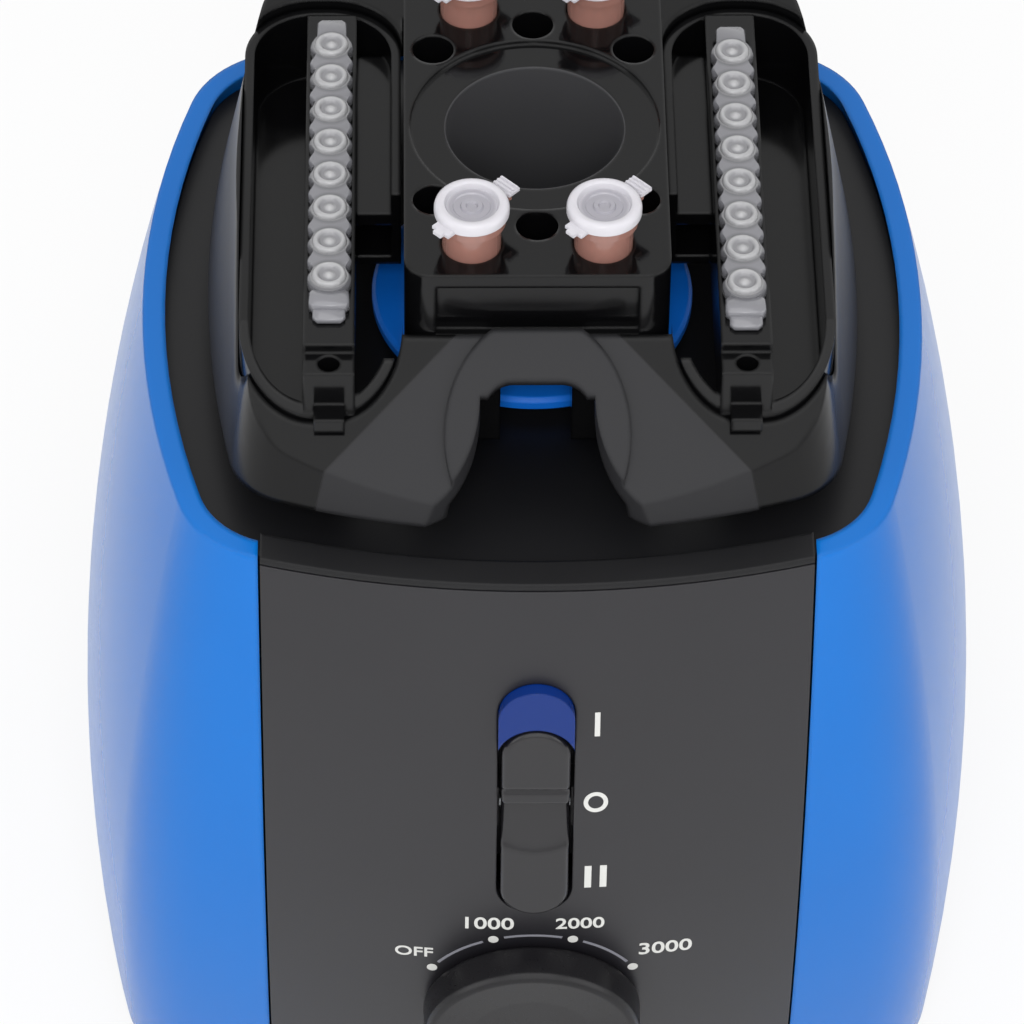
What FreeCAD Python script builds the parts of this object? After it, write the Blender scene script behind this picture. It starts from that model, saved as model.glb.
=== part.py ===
import FreeCAD, Part
import math
import os
from types import SimpleNamespace
import Sketcher

V = FreeCAD.Vector
doc = FreeCAD.newDocument("VortexMixer")
sheet = doc.addObject("Spreadsheet::Sheet", "Sizes")

# Every size in millimetres, heights measured up from the table
SIZES = dict(
    # Barrel-shaped body: rim at the top, four bulging walls, rounded corners
    rim_height=160, foot_height=5, rim_half_width=74, rim_half_depth=76,
    plan_radius=190, corner_radius=22, wall=4.2, head_y=3.819,
    side_arc_radius=440, side_apex_drop=112, front_arc_radius=320, front_apex_drop=78,
    # Front panel, recessed deck and base plate
    panel_half_width=51.2, seam_gap=0.4, fit_gap=0.3, seat_gap=0.02,
    deck_recess=3.5, deck_thickness=3, deck_hole_radius=22, drip_lip_width=2, drip_lip_height=1.1,
    lip_height=1.2, lip_web=1.6,
    base_thickness=3,
    # Feet, screws and posts
    foot_radius=9, foot_x=56, foot_y=48, foot_recess=1.8, screw_radius=1.6, screw_head_radius=3.4,
    screw_head_height=1.3, screw_gap=0.1, post_y=35, post_radius=5, post_height=12, post_setback=2.6,
    # Switch and pilot lens on the panel
    switch_drop=55.8, rocker_half_width=6.4, rocker_half_length=23.9, rocker_gap=0.8, rocker_proud=1.5,
    rocker_back=5.5, pivot_depth=6.5, pin_radius=1.25, running_gap=0.05, dimple_radius=14, dimple_depth=1.8,
    cheek_thickness=1.6, switch_depth=16, switch_half_height=19, lens_radius=7.1, lens_rise=27.2,
    lens_proud=0.8, lamp_radius=2.5, lamp_length=5,
    # Speed knob and its control
    knob_drop=109.8, knob_radius=21, knob_height=7.2, knob_lift=0.9, knob_recess_radius=8,
    control_radius=11, control_depth=12, bush_radius=4.5, shaft_radius=3, nut_radius=6.5, nut_height=2.2,
    # Power inlet in the rear wall
    inlet_drop=120, inlet_half_width=13.6, inlet_half_height=10, inlet_flange=2, inlet_border=1.9,
    inlet_depth=22, socket_half_width=12, socket_half_height=8, socket_depth=16, contact_setback=4,
    contact_pitch=7, contact_half_width=2, contact_half_height=1,
    # Motor unit on its guide posts
    orbit=2, ballast_half_width=50, ballast_half_depth=44, ballast_thickness=10, post_spread_x=37,
    post_spread_y=33, guide_radius=4, mount_radius=8.5, mount_height=14, guide_nut_radius=7,
    guide_nut_height=5, stop_gap=0.1, bracket_half_width=46, bracket_half_depth=42, bracket_thickness=3,
    can_radius=30, can_height=62, can_wall=2, can_floor=3, bearing_radius=11, bearing_height=7, boss_wall=3,
    cap_thickness=4, motor_shaft_radius=4, shaft_grip=10.2, field_thickness=3.4, field_height=40,
    armature_gap=0.9, armature_height=36, weight_radius=24, weight_height=7, weight_hub_radius=9,
    hub_radius=13, hub_height=12.5, crank_pin_radius=5, crank_pin_height=17, shoulder_height=1.95,
    head_bearing_radius=12, head_bearing_height=12,
    # Head platform
    stem_radius=17, platform_radius=30.5, platform_thickness=3, platform_lift=1.6, spigot_radius=18,
    spigot_height=4,
    # Tube block on the platform
    block_half_width=24.3, block_half_depth=40.8, block_height=42, block_corner=5, well_radius=16.6,
    well_depth=34, ring_radius=23.2, ring_depth=1, small_radius=3.9, small_depth=26, small_x=18.8,
    small_y=20.6, small_centre_y=27.5, large_radius=5.6, large_depth=30, large_x=12, large_y=32,
    face_recess=2, face_half_width=18.5, face_top=3, face_height=12, relief_half_width=6.6, relief_back=25.5,
    relief_height=16.4,
    # Saddle shell round the block
    saddle_half_width=61.5, saddle_half_depth=67.5, saddle_low=5, saddle_top=34, saddle_draft=6,
    saddle_side_radius=250, saddle_front_radius=150, saddle_corner=14, saddle_wall=3, slope_top=30,
    slope_foot=8, rear_crest=52, notch_half_width=10.5, notch_corner=6, notch_top=48.4, lobe_radius=17,
    collar_centre=56, collar_radius=17, collar_rise=1.5, notch_edge=1.3, notch_undercut=5,
    # Strip trays with their rails
    tray_inner=24.9, tray_outer=54.5, tray_front=53, tray_rear=46, tray_corner=13.5, tray_low=14,
    tray_high=32, tray_wall=1.8, tray_floor=2, rail_x=38, rail_half_width=4.7, rail_top=33, rail_front=47,
    rail_rear=43, rail_step=31, rail_slot=3.15, rail_slot_rear=35.2, rail_hole_y=49.9, rail_hole_radius=2,
    window_start=6, window_end=45, web_low=24, web_thickness=3, web_rear=38, clip_half_width=2.8,
    clip_length=4, clip_low=20.4, clip_height=3,
    # Tube strips
    strip_pitch=9, strip_count=8, strip_start_left=31.5, strip_start_right=33.5, strip_tube_radius=3,
    strip_tip_radius=1.3, strip_tube_length=19, strip_bar_thickness=1.2, strip_cap_radius=4.1,
    strip_cap_height=3.4, strip_bar_half_width=3, strip_tab_length=5, strip_grip_length=6.4,
    # Microtubes with hinged lids
    tube_radius=5.4, tube_wall=1, tube_cone=16, tube_tip_radius=1.9, tube_length=37.4, tube_lip_radius=6.3,
    tube_lip_height=1.6, lid_radius=6.9, lid_thickness=2.6, lid_gap=0.2, plug_depth=1.4, plug_gap=0.15,
    strap_reach=8.6, strap_half_width=1.9, strap_thickness=0.9, thumb_reach=9.2, thumb_half_width=2.6,
    liquid_gap=0.05, liquid_level=33,
    # Electronics
    board_x=66, board_half_length=30, board_thickness=1.6, board_low=14, board_high=60,
    board_bracket_y=24, board_bracket_half=4, board_bracket_depth=6, board_bracket_height=16,
    capacitor_radius=6, capacitor_length=14, capacitor_y=12, capacitor_z=46, sink_depth=10, sink_y=18,
    sink_half=8, sink_low=34, sink_high=52, touch_half_width=6, touch_y=20, touch_half_depth=4, touch_gap=1.8,
)
for row, (name, number) in enumerate(SIZES.items(), 1):
    sheet.set("A%d" % row, name)
    sheet.set("B%d" % row, str(number))
    sheet.setAlias("B%d" % row, name)
doc.recompute()


class Size:
    """A size that carries its number and its sheet expression together."""

    def __init__(self, number, text):
        self.number = number
        self.text = text

    def join(self, sign, other, number):
        return Size(number, "(%s %s %s)" % (self.text, sign, other.text))

    def __add__(self, other):
        other = as_size(other)
        return self.join("+", other, self.number + other.number)

    def __sub__(self, other):
        other = as_size(other)
        return self.join("-", other, self.number - other.number)

    def __mul__(self, other):
        other = as_size(other)
        return self.join("*", other, self.number * other.number)

    def __truediv__(self, other):
        other = as_size(other)
        return self.join("/", other, self.number / other.number)

    def __radd__(self, other):
        return as_size(other) + self

    def __rsub__(self, other):
        return as_size(other) - self

    def __rmul__(self, other):
        return as_size(other) * self

    def __neg__(self):
        return as_size(0) - self


def as_size(value):
    return value if isinstance(value, Size) else Size(float(value), repr(float(value)))


def root(value):
    return Size(math.sqrt(value.number), "sqrt(%s)" % value.text)


def bind(thing, **properties):
    """Tie properties of a document object to sheet expressions."""
    for name, value in properties.items():
        thing.setExpression(name, as_size(value).text)
    return thing


def spot(x=0, y=0, z=0, axis=(0, 0, 1), angle="0"):
    """Expression for a placement at x, y, z turned about an axis."""
    place = "; ".join(as_size(value).text for value in (x, y, z))
    return "placement(vector(%s); rotation(vector(%d; %d; %d); %s))" % ((place,) + axis + (angle,))


ALONG_X = dict(axis=(0, 1, 0), angle="90")
ALONG_Y = dict(axis=(1, 0, 0), angle="-90")
FACING_OUT = dict(axis=(1, 0, 0), angle="90")


def put(thing, place, frame=None):
    thing.setExpression("Placement", "%s * %s" % (frame, place) if frame else place)
    return thing


def slab(name, x, y, z, frame=None):
    """Block between pairs of limits along x, y and z."""
    block = doc.addObject("Part::Box", name)
    low = [as_size(pair[0]) for pair in (x, y, z)]
    span = [as_size(pair[1]) - as_size(pair[0]) for pair in (x, y, z)]
    bind(block, Length=span[0], Width=span[1], Height=span[2])
    return put(block, spot(*low), frame)


def rod(name, radius, low, high, x=0, y=0, frame=None):
    """Upright cylinder between two heights."""
    body = bind(doc.addObject("Part::Cylinder", name), Radius=radius, Height=as_size(high) - low)
    return put(body, spot(x, y, low), frame)


def cross_rod(name, radius, low, high, first, second, turn, frame=None):
    """Cylinder lying along x (first, second are y, z) or along y (x, z)."""
    body = bind(doc.addObject("Part::Cylinder", name), Radius=radius, Height=as_size(high) - low)
    start = (low, first, second) if turn is ALONG_X else (first, low, second)
    return put(body, spot(*start, **turn), frame)


def cone(name, low_radius, high_radius, low, high, x=0, y=0, frame=None):
    body = bind(doc.addObject("Part::Cone", name), Radius1=low_radius, Radius2=high_radius,
                Height=as_size(high) - low)
    return put(body, spot(x, y, low), frame)


def cut(name, base, *tools):
    result = doc.addObject("Part::Cut", name)
    result.Base = base
    result.Tool = tools[0] if len(tools) == 1 else fuse(name + "_tools", *tools)
    return result


def fuse(name, *pieces):
    result = doc.addObject("Part::MultiFuse", name)
    result.Shapes = list(pieces)
    return result


def common(name, *pieces):
    result = doc.addObject("Part::MultiCommon", name)
    result.Shapes = list(pieces)
    return result


def group(name, *pieces):
    """Several equal solids kept in one node."""
    result = doc.addObject("Part::Compound", name)
    result.Links = list(pieces)
    return result


def rounded(name, base, radius, wanted):
    """Round the edges of base that the test function picks."""
    doc.recompute()
    result = doc.addObject("Part::Fillet", name)
    result.Base = base
    picked = [index for index, edge in enumerate(base.Shape.Edges, 1) if wanted(edge)]
    result.Edges = [(index, radius.number, radius.number) for index in picked]
    return result


def pin_point(sketch, line, tag, x, y):
    """Dimension the start point of a line from the sketch origin."""
    for kind, axis_line, value in (("DistanceX", -2, as_size(x)), ("DistanceY", -1, as_size(y))):
        if abs(value.number) < 1e-9:
            sketch.addConstraint(Sketcher.Constraint("PointOnObject", line, 1, axis_line))
            continue
        ends = (-1, 1, line, 1) if value.number > 0 else (line, 1, -1, 1)
        size = value if value.number > 0 else -value
        index = sketch.addConstraint(Sketcher.Constraint(kind, *ends, size.number))
        label = "%s_%s" % (kind[-1].lower(), tag)
        sketch.renameConstraint(index, label)
        sketch.setExpression("Constraints." + label, size.text)


UPRIGHT = FreeCAD.Rotation(V(1, 0, 0), 90)
SIDEWAYS = FreeCAD.Rotation(V(1, 1, 1), 120)
FLAT = FreeCAD.Rotation()


def polygon(name, corners, plane=FLAT):
    """Closed outline of straight lines, every corner dimensioned."""
    sketch = doc.addObject("Sketcher::SketchObject", name)
    sketch.Placement = FreeCAD.Placement(V(), plane)
    points = [V(as_size(x).number, as_size(y).number, 0) for x, y in corners]
    count = len(points)
    lines = [sketch.addGeometry(Part.LineSegment(points[i], points[(i + 1) % count])) for i in range(count)]
    for i, line in enumerate(lines):
        sketch.addConstraint(Sketcher.Constraint("Coincident", line, 2, lines[(i + 1) % count], 1))
    for i, line in enumerate(lines):
        pin_point(sketch, line, "%d" % i, *corners[i])
    return sketch


def turned(name, corners, frame):
    """Solid of revolution about its own z axis from radius and height pairs."""
    body = doc.addObject("Part::Revolution", name)
    body.Source = polygon(name + "_profile", corners, UPRIGHT)
    body.Axis = V(0, 0, 1)
    body.Angle = 360
    body.Solid = True
    return put(body, frame)


def prism(name, sketch, direction, length, start):
    """Straight extrusion of a sketch."""
    body = doc.addObject("Part::Extrusion", name)
    body.Base = sketch
    body.DirMode = "Custom"
    body.Dir = direction
    body.Solid = True
    bind(body, LengthFwd=length)
    return put(body, start)


s = SimpleNamespace(**{name: Size(float(number), "Sizes." + name) for name, number in SIZES.items()})
TO_AXIS = spot(0, s.head_y, 0)

# Body form: four barrels turned about upright axes, crossed and rounded at the corners
base_top = s.foot_height + s.base_thickness
deck_top = s.rim_height - s.deck_recess
deck_low = deck_top - s.deck_thickness


def barrel_outline(name, arc_radius, apex_drop, inset, low, high):
    """Half outline of a barrel: its axis, two flat ends and one bulging arc."""
    sketch = doc.addObject("Sketcher::SketchObject", name)
    sketch.Placement = FreeCAD.Placement(V(), UPRIGHT)
    apex = s.rim_height - apex_drop
    centre = s.plan_radius - inset - root(arc_radius * arc_radius - apex_drop * apex_drop)
    low, high = as_size(low), as_size(high)

    def reach(height):
        return centre.number + math.sqrt(arc_radius.number ** 2 - (height - apex.number) ** 2)

    start, end = V(reach(low.number), low.number, 0), V(reach(high.number), high.number, 0)
    angles = [math.atan2(point.y - apex.number, point.x - centre.number) for point in (start, end)]
    circle = Part.Circle(V(centre.number, apex.number, 0), V(0, 0, 1), arc_radius.number)
    axis = sketch.addGeometry(Part.LineSegment(V(0, end.y, 0), V(0, start.y, 0)))
    floor = sketch.addGeometry(Part.LineSegment(V(0, start.y, 0), start))
    bulge = sketch.addGeometry(Part.ArcOfCircle(circle, *angles))
    ceiling = sketch.addGeometry(Part.LineSegment(end, V(0, end.y, 0)))
    ring = (axis, floor, bulge, ceiling)
    for first, second in zip(ring, ring[1:] + ring[:1]):
        sketch.addConstraint(Sketcher.Constraint("Coincident", first, 2, second, 1))
    for line in (floor, ceiling):
        sketch.addConstraint(Sketcher.Constraint("Horizontal", line))
    for point in (1, 2):
        sketch.addConstraint(Sketcher.Constraint("PointOnObject", axis, point, -2))
    ends = ("DistanceX", bulge, 3, -1, 1) if centre.number < 0 else ("DistanceX", -1, 1, bulge, 3)
    out = -centre if centre.number < 0 else centre
    for label, size, kind in (("arc_radius", arc_radius, ("Radius", bulge)),
                              ("apex_height", apex, ("DistanceY", -1, 1, bulge, 3)),
                              ("low_end", low, ("DistanceY", -1, 1, floor, 1)),
                              ("high_end", high, ("DistanceY", -1, 1, ceiling, 1)),
                              ("centre_out", out, ends)):
        index = sketch.addConstraint(Sketcher.Constraint(*kind, size.number))
        sketch.renameConstraint(index, label)
        sketch.setExpression("Constraints." + label, size.text)
    return sketch


def barrel(name, sketch, x, y):
    body = doc.addObject("Part::Revolution", name)
    body.Source = sketch
    body.Axis = V(0, 0, 1)
    body.Angle = 360
    body.Solid = True
    return put(body, spot(x, s.head_y + y, 0))


def body_form(name, inset, low, high):
    """The barrel body, drawn in from its outer skin by inset."""
    inset = as_size(inset)
    side = barrel_outline(name + "_side", s.side_arc_radius, s.side_apex_drop, inset, low, high)
    front = barrel_outline(name + "_front", s.front_arc_radius, s.front_apex_drop, inset, low, high)
    across = s.plan_radius - s.rim_half_width
    along = s.plan_radius - s.rim_half_depth
    crossed = common(name + "_crossed", barrel(name + "_right", side, -across, 0),
                     barrel(name + "_left", side, across, 0), barrel(name + "_rear", front, 0, -along),
                     barrel(name + "_fore", front, 0, along))
    half_height = (as_size(high).number - as_size(low).number) / 2

    def corner(edge):
        middle = edge.BoundBox.Center
        beside = abs(middle.x) > s.rim_half_width.number / 2
        beyond = abs(middle.y) > s.rim_half_depth.number / 2
        return beside and beyond and edge.BoundBox.ZLength > half_height

    return rounded(name, crossed, s.corner_radius - inset, corner)


def front_reach(drop):
    """Distance from the body axis to the middle of the front or rear face, a drop below the rim."""
    off_apex = drop - s.front_apex_drop
    square = s.front_arc_radius * s.front_arc_radius
    return (s.rim_half_depth + root(square - off_apex * off_apex)
            - root(square - s.front_apex_drop * s.front_apex_drop))


def face_frame(drop, rear=False):
    """Frame on the front or rear face: x along it, y into the body, z up the face."""
    tilt = "asin(%s)" % ((drop - s.front_apex_drop) / s.front_arc_radius).text
    lean = spot(axis=(1, 0, 0), angle=tilt)
    reach = front_reach(drop)
    height = s.rim_height - drop
    if rear:
        return "%s * %s" % (spot(0, s.head_y + reach, height, angle="180"), lean)
    return "%s * %s" % (spot(0, s.head_y - reach, height), lean)


outer_form = body_form("outer_form", 0, s.foot_height, s.rim_height)
inner_form = body_form("inner_form", s.wall, s.foot_height - 1, s.rim_height + 1)
fitted_form = body_form("fitted_form", s.wall + s.fit_gap, s.foot_height - 1, s.rim_height + 1)
shell = cut("shell", outer_form, inner_form)
far = s.rim_half_width + s.rim_half_depth
panel_edge = s.panel_half_width - s.seam_gap

# Housing: the blue shell, open at the front, with screw posts and the inlet cut-out
front_gap = slab("front_gap", (-s.panel_half_width, s.panel_half_width), (-far, s.head_y),
                 (0, s.rim_height + 2))
post_drop = s.rim_height - base_top - s.post_height / 2
post_reach = (s.rim_half_width + root(s.side_arc_radius * s.side_arc_radius
                                      - (post_drop - s.side_apex_drop) * (post_drop - s.side_apex_drop))
              - root(s.side_arc_radius * s.side_arc_radius - s.side_apex_drop * s.side_apex_drop)
              - s.post_y * s.post_y / (2 * s.plan_radius) - s.wall - s.post_setback)
corners = [(side, end) for side in (-1, 1) for end in (-1, 1)]
posts = [rod("post_%d" % i, s.post_radius, base_top + s.fit_gap, base_top + s.post_height,
             side * post_reach, s.head_y + end * s.post_y) for i, (side, end) in enumerate(corners)]
post_holes = [rod("post_hole_%d" % i, s.screw_radius + s.screw_gap, 0, base_top + s.post_height - 2,
                  side * post_reach, s.head_y + end * s.post_y) for i, (side, end) in enumerate(corners)]
inlet_frame = face_frame(s.inlet_drop, rear=True)
inlet_hole = slab("inlet_hole", (-s.inlet_half_width - s.fit_gap, s.inlet_half_width + s.fit_gap),
                  (-s.wall, 2 * s.wall), (-s.inlet_half_height - s.fit_gap, s.inlet_half_height + s.fit_gap),
                  inlet_frame)
housing = cut("housing", fuse("posted_shell", cut("open_shell", shell, front_gap), *posts),
              *post_holes, inlet_hole)

# Base plate: fills the foot of the shell, drilled for the feet and the housing screws
base_blank = common("base_blank", fitted_form, slab("base_layer", (-far, far), (-far, far),
                                                    (s.foot_height, base_top)))
foot_holes = [rod("foot_hole_%d" % i, s.screw_radius + s.screw_gap, 0, base_top + 1,
                  side * s.foot_x, s.head_y + end * s.foot_y) for i, (side, end) in enumerate(corners)]
base_plate = cut("base_plate", base_blank, *foot_holes, *post_holes)

# Rubber feet with a recess for their screw heads
bore = s.screw_radius + s.screw_gap
head_room = s.screw_head_radius + 0.6
feet = [turned("foot_%d" % i,
               [(bore, s.foot_recess), (head_room, s.foot_recess), (head_room, 0), (s.foot_radius - 0.8, 0),
                (s.foot_radius, 1), (s.foot_radius, s.foot_height), (bore, s.foot_height)],
               spot(side * s.foot_x, s.head_y + end * s.foot_y, 0)) for i, (side, end) in enumerate(corners)]
rubber_feet = group("rubber_feet", *feet)


def screw(name, head_low, shank_top, x, y):
    """Pan-head screw standing head down."""
    head_top = head_low + s.screw_head_height
    return turned(name, [(0, head_low), (s.screw_head_radius - 0.5, head_low),
                         (s.screw_head_radius, head_low + 0.5), (s.screw_head_radius, head_top),
                         (s.screw_radius, head_top), (s.screw_radius, shank_top), (0, shank_top)],
                  spot(x, y, 0))


foot_screws = group("foot_screws", *[
    screw("foot_screw_%d" % i, s.foot_recess - s.screw_head_height, base_top - 0.2,
          side * s.foot_x, s.head_y + end * s.foot_y) for i, (side, end) in enumerate(corners)])
housing_screws = group("housing_screws", *[
    screw("housing_screw_%d" % i, s.foot_height - s.screw_head_height, base_top + s.post_height - 3,
          side * post_reach, s.head_y + end * s.post_y) for i, (side, end) in enumerate(corners)])

# Top deck: recessed plate with a drip lip, closed at the front by a web and a lip over the panel
motor_y = s.head_y - s.orbit
deck_plate = common("deck_plate", fitted_form, slab("deck_layer", (-far, far), (-far, far),
                                                    (deck_low, deck_top)))
lip_low = s.rim_height - s.lip_height
within_lip = body_form("within_lip", s.wall + s.fit_gap + s.lip_web, s.foot_height - 1, s.rim_height + 1)
front_lip = cut("front_lip", common("front_lip_blank", outer_form, slab(
    "front_lip_zone", (-panel_edge, panel_edge), (-far, s.head_y), (lip_low, s.rim_height))), within_lip)
front_web = cut("front_web", common("front_web_blank", fitted_form, slab(
    "front_web_zone", (-panel_edge, panel_edge), (-far, s.head_y), (deck_low, s.rim_height))), within_lip)
drip_lip = rod("drip_lip", s.deck_hole_radius + s.drip_lip_width, deck_low, deck_top + s.drip_lip_height,
               0, motor_y)
deck_hole = rod("deck_hole", s.deck_hole_radius, deck_low - 1, s.rim_height, 0, motor_y)
top_deck = cut("top_deck", fuse("deck_blank", deck_plate, front_web, front_lip, drip_lip), deck_hole)

# Front panel: the slice of the shell between the seams, cut for switch, lens and control
switch_frame = face_frame(s.switch_drop)
knob_frame = face_frame(s.knob_drop)


def stadium(name, half_width, half_length, y, frame):
    """Upright round-ended block across the panel."""
    half = half_length - half_width
    pieces = [slab(name + "_middle", (-half_width, half_width), y, (-half, half), frame)]
    for end, height in (("top", half), ("foot", -half)):
        pieces.append(cross_rod("%s_%s" % (name, end), half_width, y[0], y[1], 0, height, ALONG_Y, frame))
    return fuse(name, *pieces)


slot_width = s.rocker_half_width + s.rocker_gap
slot_length = s.rocker_half_length + s.rocker_gap
behind = 2 * s.wall
switch_slot = stadium("switch_slot", slot_width, slot_length, (-behind, behind), switch_frame)


def lens_form(name, radius, y):
    """Round-topped window standing on the round end of the switch slot."""
    foot = slab(name + "_foot", (-radius, radius), y, (slot_length - slot_width, s.lens_rise), switch_frame)
    crown = cross_rod(name + "_round", radius, y[0], y[1], 0, s.lens_rise, ALONG_Y, switch_frame)
    return fuse(name, foot, crown)


lens_hole = lens_form("lens_hole", s.lens_radius + s.fit_gap / 2, (-behind, behind))
control_hole = cross_rod("control_hole", s.bush_radius + s.fit_gap / 2, -behind, behind, 0, 0, ALONG_Y,
                         knob_frame)
panel_blank = common("panel_blank", shell, slab("panel_zone", (-panel_edge, panel_edge), (-far, s.head_y),
                                                (0, lip_low - s.seam_gap)))
front_panel = cut("front_panel", panel_blank, switch_slot, lens_hole, control_hole)

# Rocker switch: three-position rocker on a pin between the cheeks of its body
rocker_blank = stadium("rocker_blank", s.rocker_half_width, s.rocker_half_length,
                       (-s.rocker_proud, s.rocker_back), switch_frame)
lug = slab("rocker_lug", (-s.rocker_half_width, s.rocker_half_width), (0, s.pivot_depth + 2.5), (-6, 6),
           switch_frame)
dimple = cross_rod("dimple", s.dimple_radius, -far, far,
                   -s.rocker_proud - s.dimple_radius + s.dimple_depth, 0, ALONG_X, switch_frame)
rocker_bore = cross_rod("rocker_bore", s.pin_radius + s.running_gap, -far, far, s.pivot_depth, 0, ALONG_X,
                        switch_frame)
rocker = cut("rocker", fuse("rocker_solid", rocker_blank, lug), dimple, rocker_bore)
cheek_in = s.rocker_half_width + s.fit_gap
cheek_out = cheek_in + s.cheek_thickness
switch_start = s.pivot_depth + 4.5
cheeks = [slab("cheek_%d" % i, (low, high), (s.wall + 0.5, switch_start), (-5, 5), switch_frame)
          for i, (low, high) in enumerate(((-cheek_out, -cheek_in), (cheek_in, cheek_out)))]
switch_block = slab("switch_block", (-cheek_out, cheek_out), (switch_start, switch_start + s.switch_depth),
                    (-s.switch_half_height, s.switch_half_height), switch_frame)
pin_bore = cross_rod("pin_bore", s.pin_radius, -far, far, s.pivot_depth, 0, ALONG_X, switch_frame)
switch_body = cut("switch_body", fuse("switch_solid", switch_block, *cheeks), pin_bore)
rocker_pin = cross_rod("rocker_pin", s.pin_radius, -cheek_out, cheek_out, s.pivot_depth, 0, ALONG_X,
                       switch_frame)

# Pilot lens: a round lens bitten by the switch slot, with its lamp behind it
lens_blank = lens_form("lens_blank", s.lens_radius, (-s.lens_proud, s.wall))
slot_rim = stadium("slot_rim", slot_width + s.fit_gap, slot_length + s.fit_gap, (-behind, behind),
                   switch_frame)
pilot_lens = cut("pilot_lens", lens_blank, slot_rim)
pilot_lamp = cross_rod("pilot_lamp", s.lamp_radius, s.wall, s.wall + s.lamp_length, 0, s.lens_rise + 3,
                       ALONG_Y, switch_frame)

# Speed knob on the shaft of its control, which is held to the panel by a nut
knob_axis = "%s * %s" % (knob_frame, spot(**FACING_OUT))
knob_top = s.knob_lift + s.knob_height
knob_seat = s.shaft_radius + s.seat_gap
recess_top = s.knob_lift + 4
speed_knob = turned("speed_knob", [
    (knob_seat, recess_top), (s.knob_recess_radius, recess_top), (s.knob_recess_radius, s.knob_lift),
    (s.knob_radius, s.knob_lift), (s.knob_radius - 0.2, knob_top - 1.2),
    (s.knob_radius - 0.7, knob_top - 0.3), (s.knob_radius - 1.5, knob_top),
    (s.knob_radius - 9, knob_top - 0.5),
    (0, knob_top - 0.8), (0, knob_top - 2.2), (knob_seat, knob_top - 2.2)], knob_axis)
bush_back = -s.wall - 1
bush_top = s.knob_lift + s.nut_height
control_back = bush_back - s.control_depth
control_bore = s.shaft_radius + s.running_gap
speed_control = turned("speed_control", [
    (control_bore, control_back), (s.control_radius, control_back), (s.control_radius, bush_back),
    (s.bush_radius, bush_back), (s.bush_radius, bush_top), (control_bore, bush_top)], knob_axis)
control_shaft = rod("control_shaft", s.shaft_radius, control_back, knob_top - 2.3, frame=knob_axis)
control_nut = cut("control_nut", rod("nut_blank", s.nut_radius, s.fit_gap / 2, s.nut_height, frame=knob_axis),
                  rod("nut_bore", s.bush_radius + s.seat_gap, -1, s.nut_height + 1, frame=knob_axis))

# Power inlet in the rear wall: flange, body, socket and three contacts


def inlet_slab(name, half_width, half_height, near, deep):
    """Block centred on the inlet, from near to deep along its depth."""
    return slab(name, (-half_width, half_width), (near, deep), (-half_height, half_height), inlet_frame)


flange = inlet_slab("inlet_flange_plate", s.inlet_half_width + s.inlet_border,
                    s.inlet_half_height + s.inlet_border, -s.inlet_flange, 0)
inlet_block = inlet_slab("inlet_block", s.inlet_half_width, s.inlet_half_height, -s.inlet_flange,
                         s.inlet_depth)
socket = inlet_slab("inlet_socket", s.socket_half_width, s.socket_half_height, -s.inlet_flange - 1,
                    s.socket_depth)
power_inlet = cut("power_inlet", fuse("inlet_solid", flange, inlet_block), socket)
inlet_pins = group("inlet_pins", *[
    slab("inlet_pin_%d" % i, (across * s.contact_pitch - s.contact_half_height,
                              across * s.contact_pitch + s.contact_half_height),
         (s.contact_setback, s.socket_depth),
         (rise - s.contact_half_width, rise + s.contact_half_width), inlet_frame)
    for i, (across, rise) in enumerate(((-1, -2), (1, -2), (0, 2)))])

# Ballast plate and the guide posts that carry the motor unit
ballast_top = base_top + s.ballast_thickness
bracket_low = ballast_top + s.mount_height
bracket_top = bracket_low + s.bracket_thickness
guides = [(side * s.post_spread_x, motor_y + end * s.post_spread_y) for side, end in corners]
motor_spot = spot(0, motor_y, 0)
ballast_plate = slab("ballast_plate", (-s.ballast_half_width, s.ballast_half_width),
                     (-s.ballast_half_depth, s.ballast_half_depth), (base_top, ballast_top), motor_spot)
nut_low = bracket_top + s.stop_gap
nut_top = nut_low + s.guide_nut_height
guide_posts = group("guide_posts", *[
    rod("guide_post_%d" % i, s.guide_radius, ballast_top, nut_top + 1, x, y)
    for i, (x, y) in enumerate(guides)])


def ring(name, inner, outer, low, high, x, y):
    return turned(name, [(inner, low), (outer, low), (outer, high), (inner, high)], spot(x, y, 0))


rubber_mounts = group("rubber_mounts", *[
    ring("rubber_mount_%d" % i, s.guide_radius + s.fit_gap, s.mount_radius, ballast_top, bracket_low, x, y)
    for i, (x, y) in enumerate(guides)])
guide_nuts = group("guide_nuts", *[
    ring("guide_nut_%d" % i, s.guide_radius + s.seat_gap, s.guide_nut_radius, nut_low, nut_top, x, y)
    for i, (x, y) in enumerate(guides)])

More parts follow.
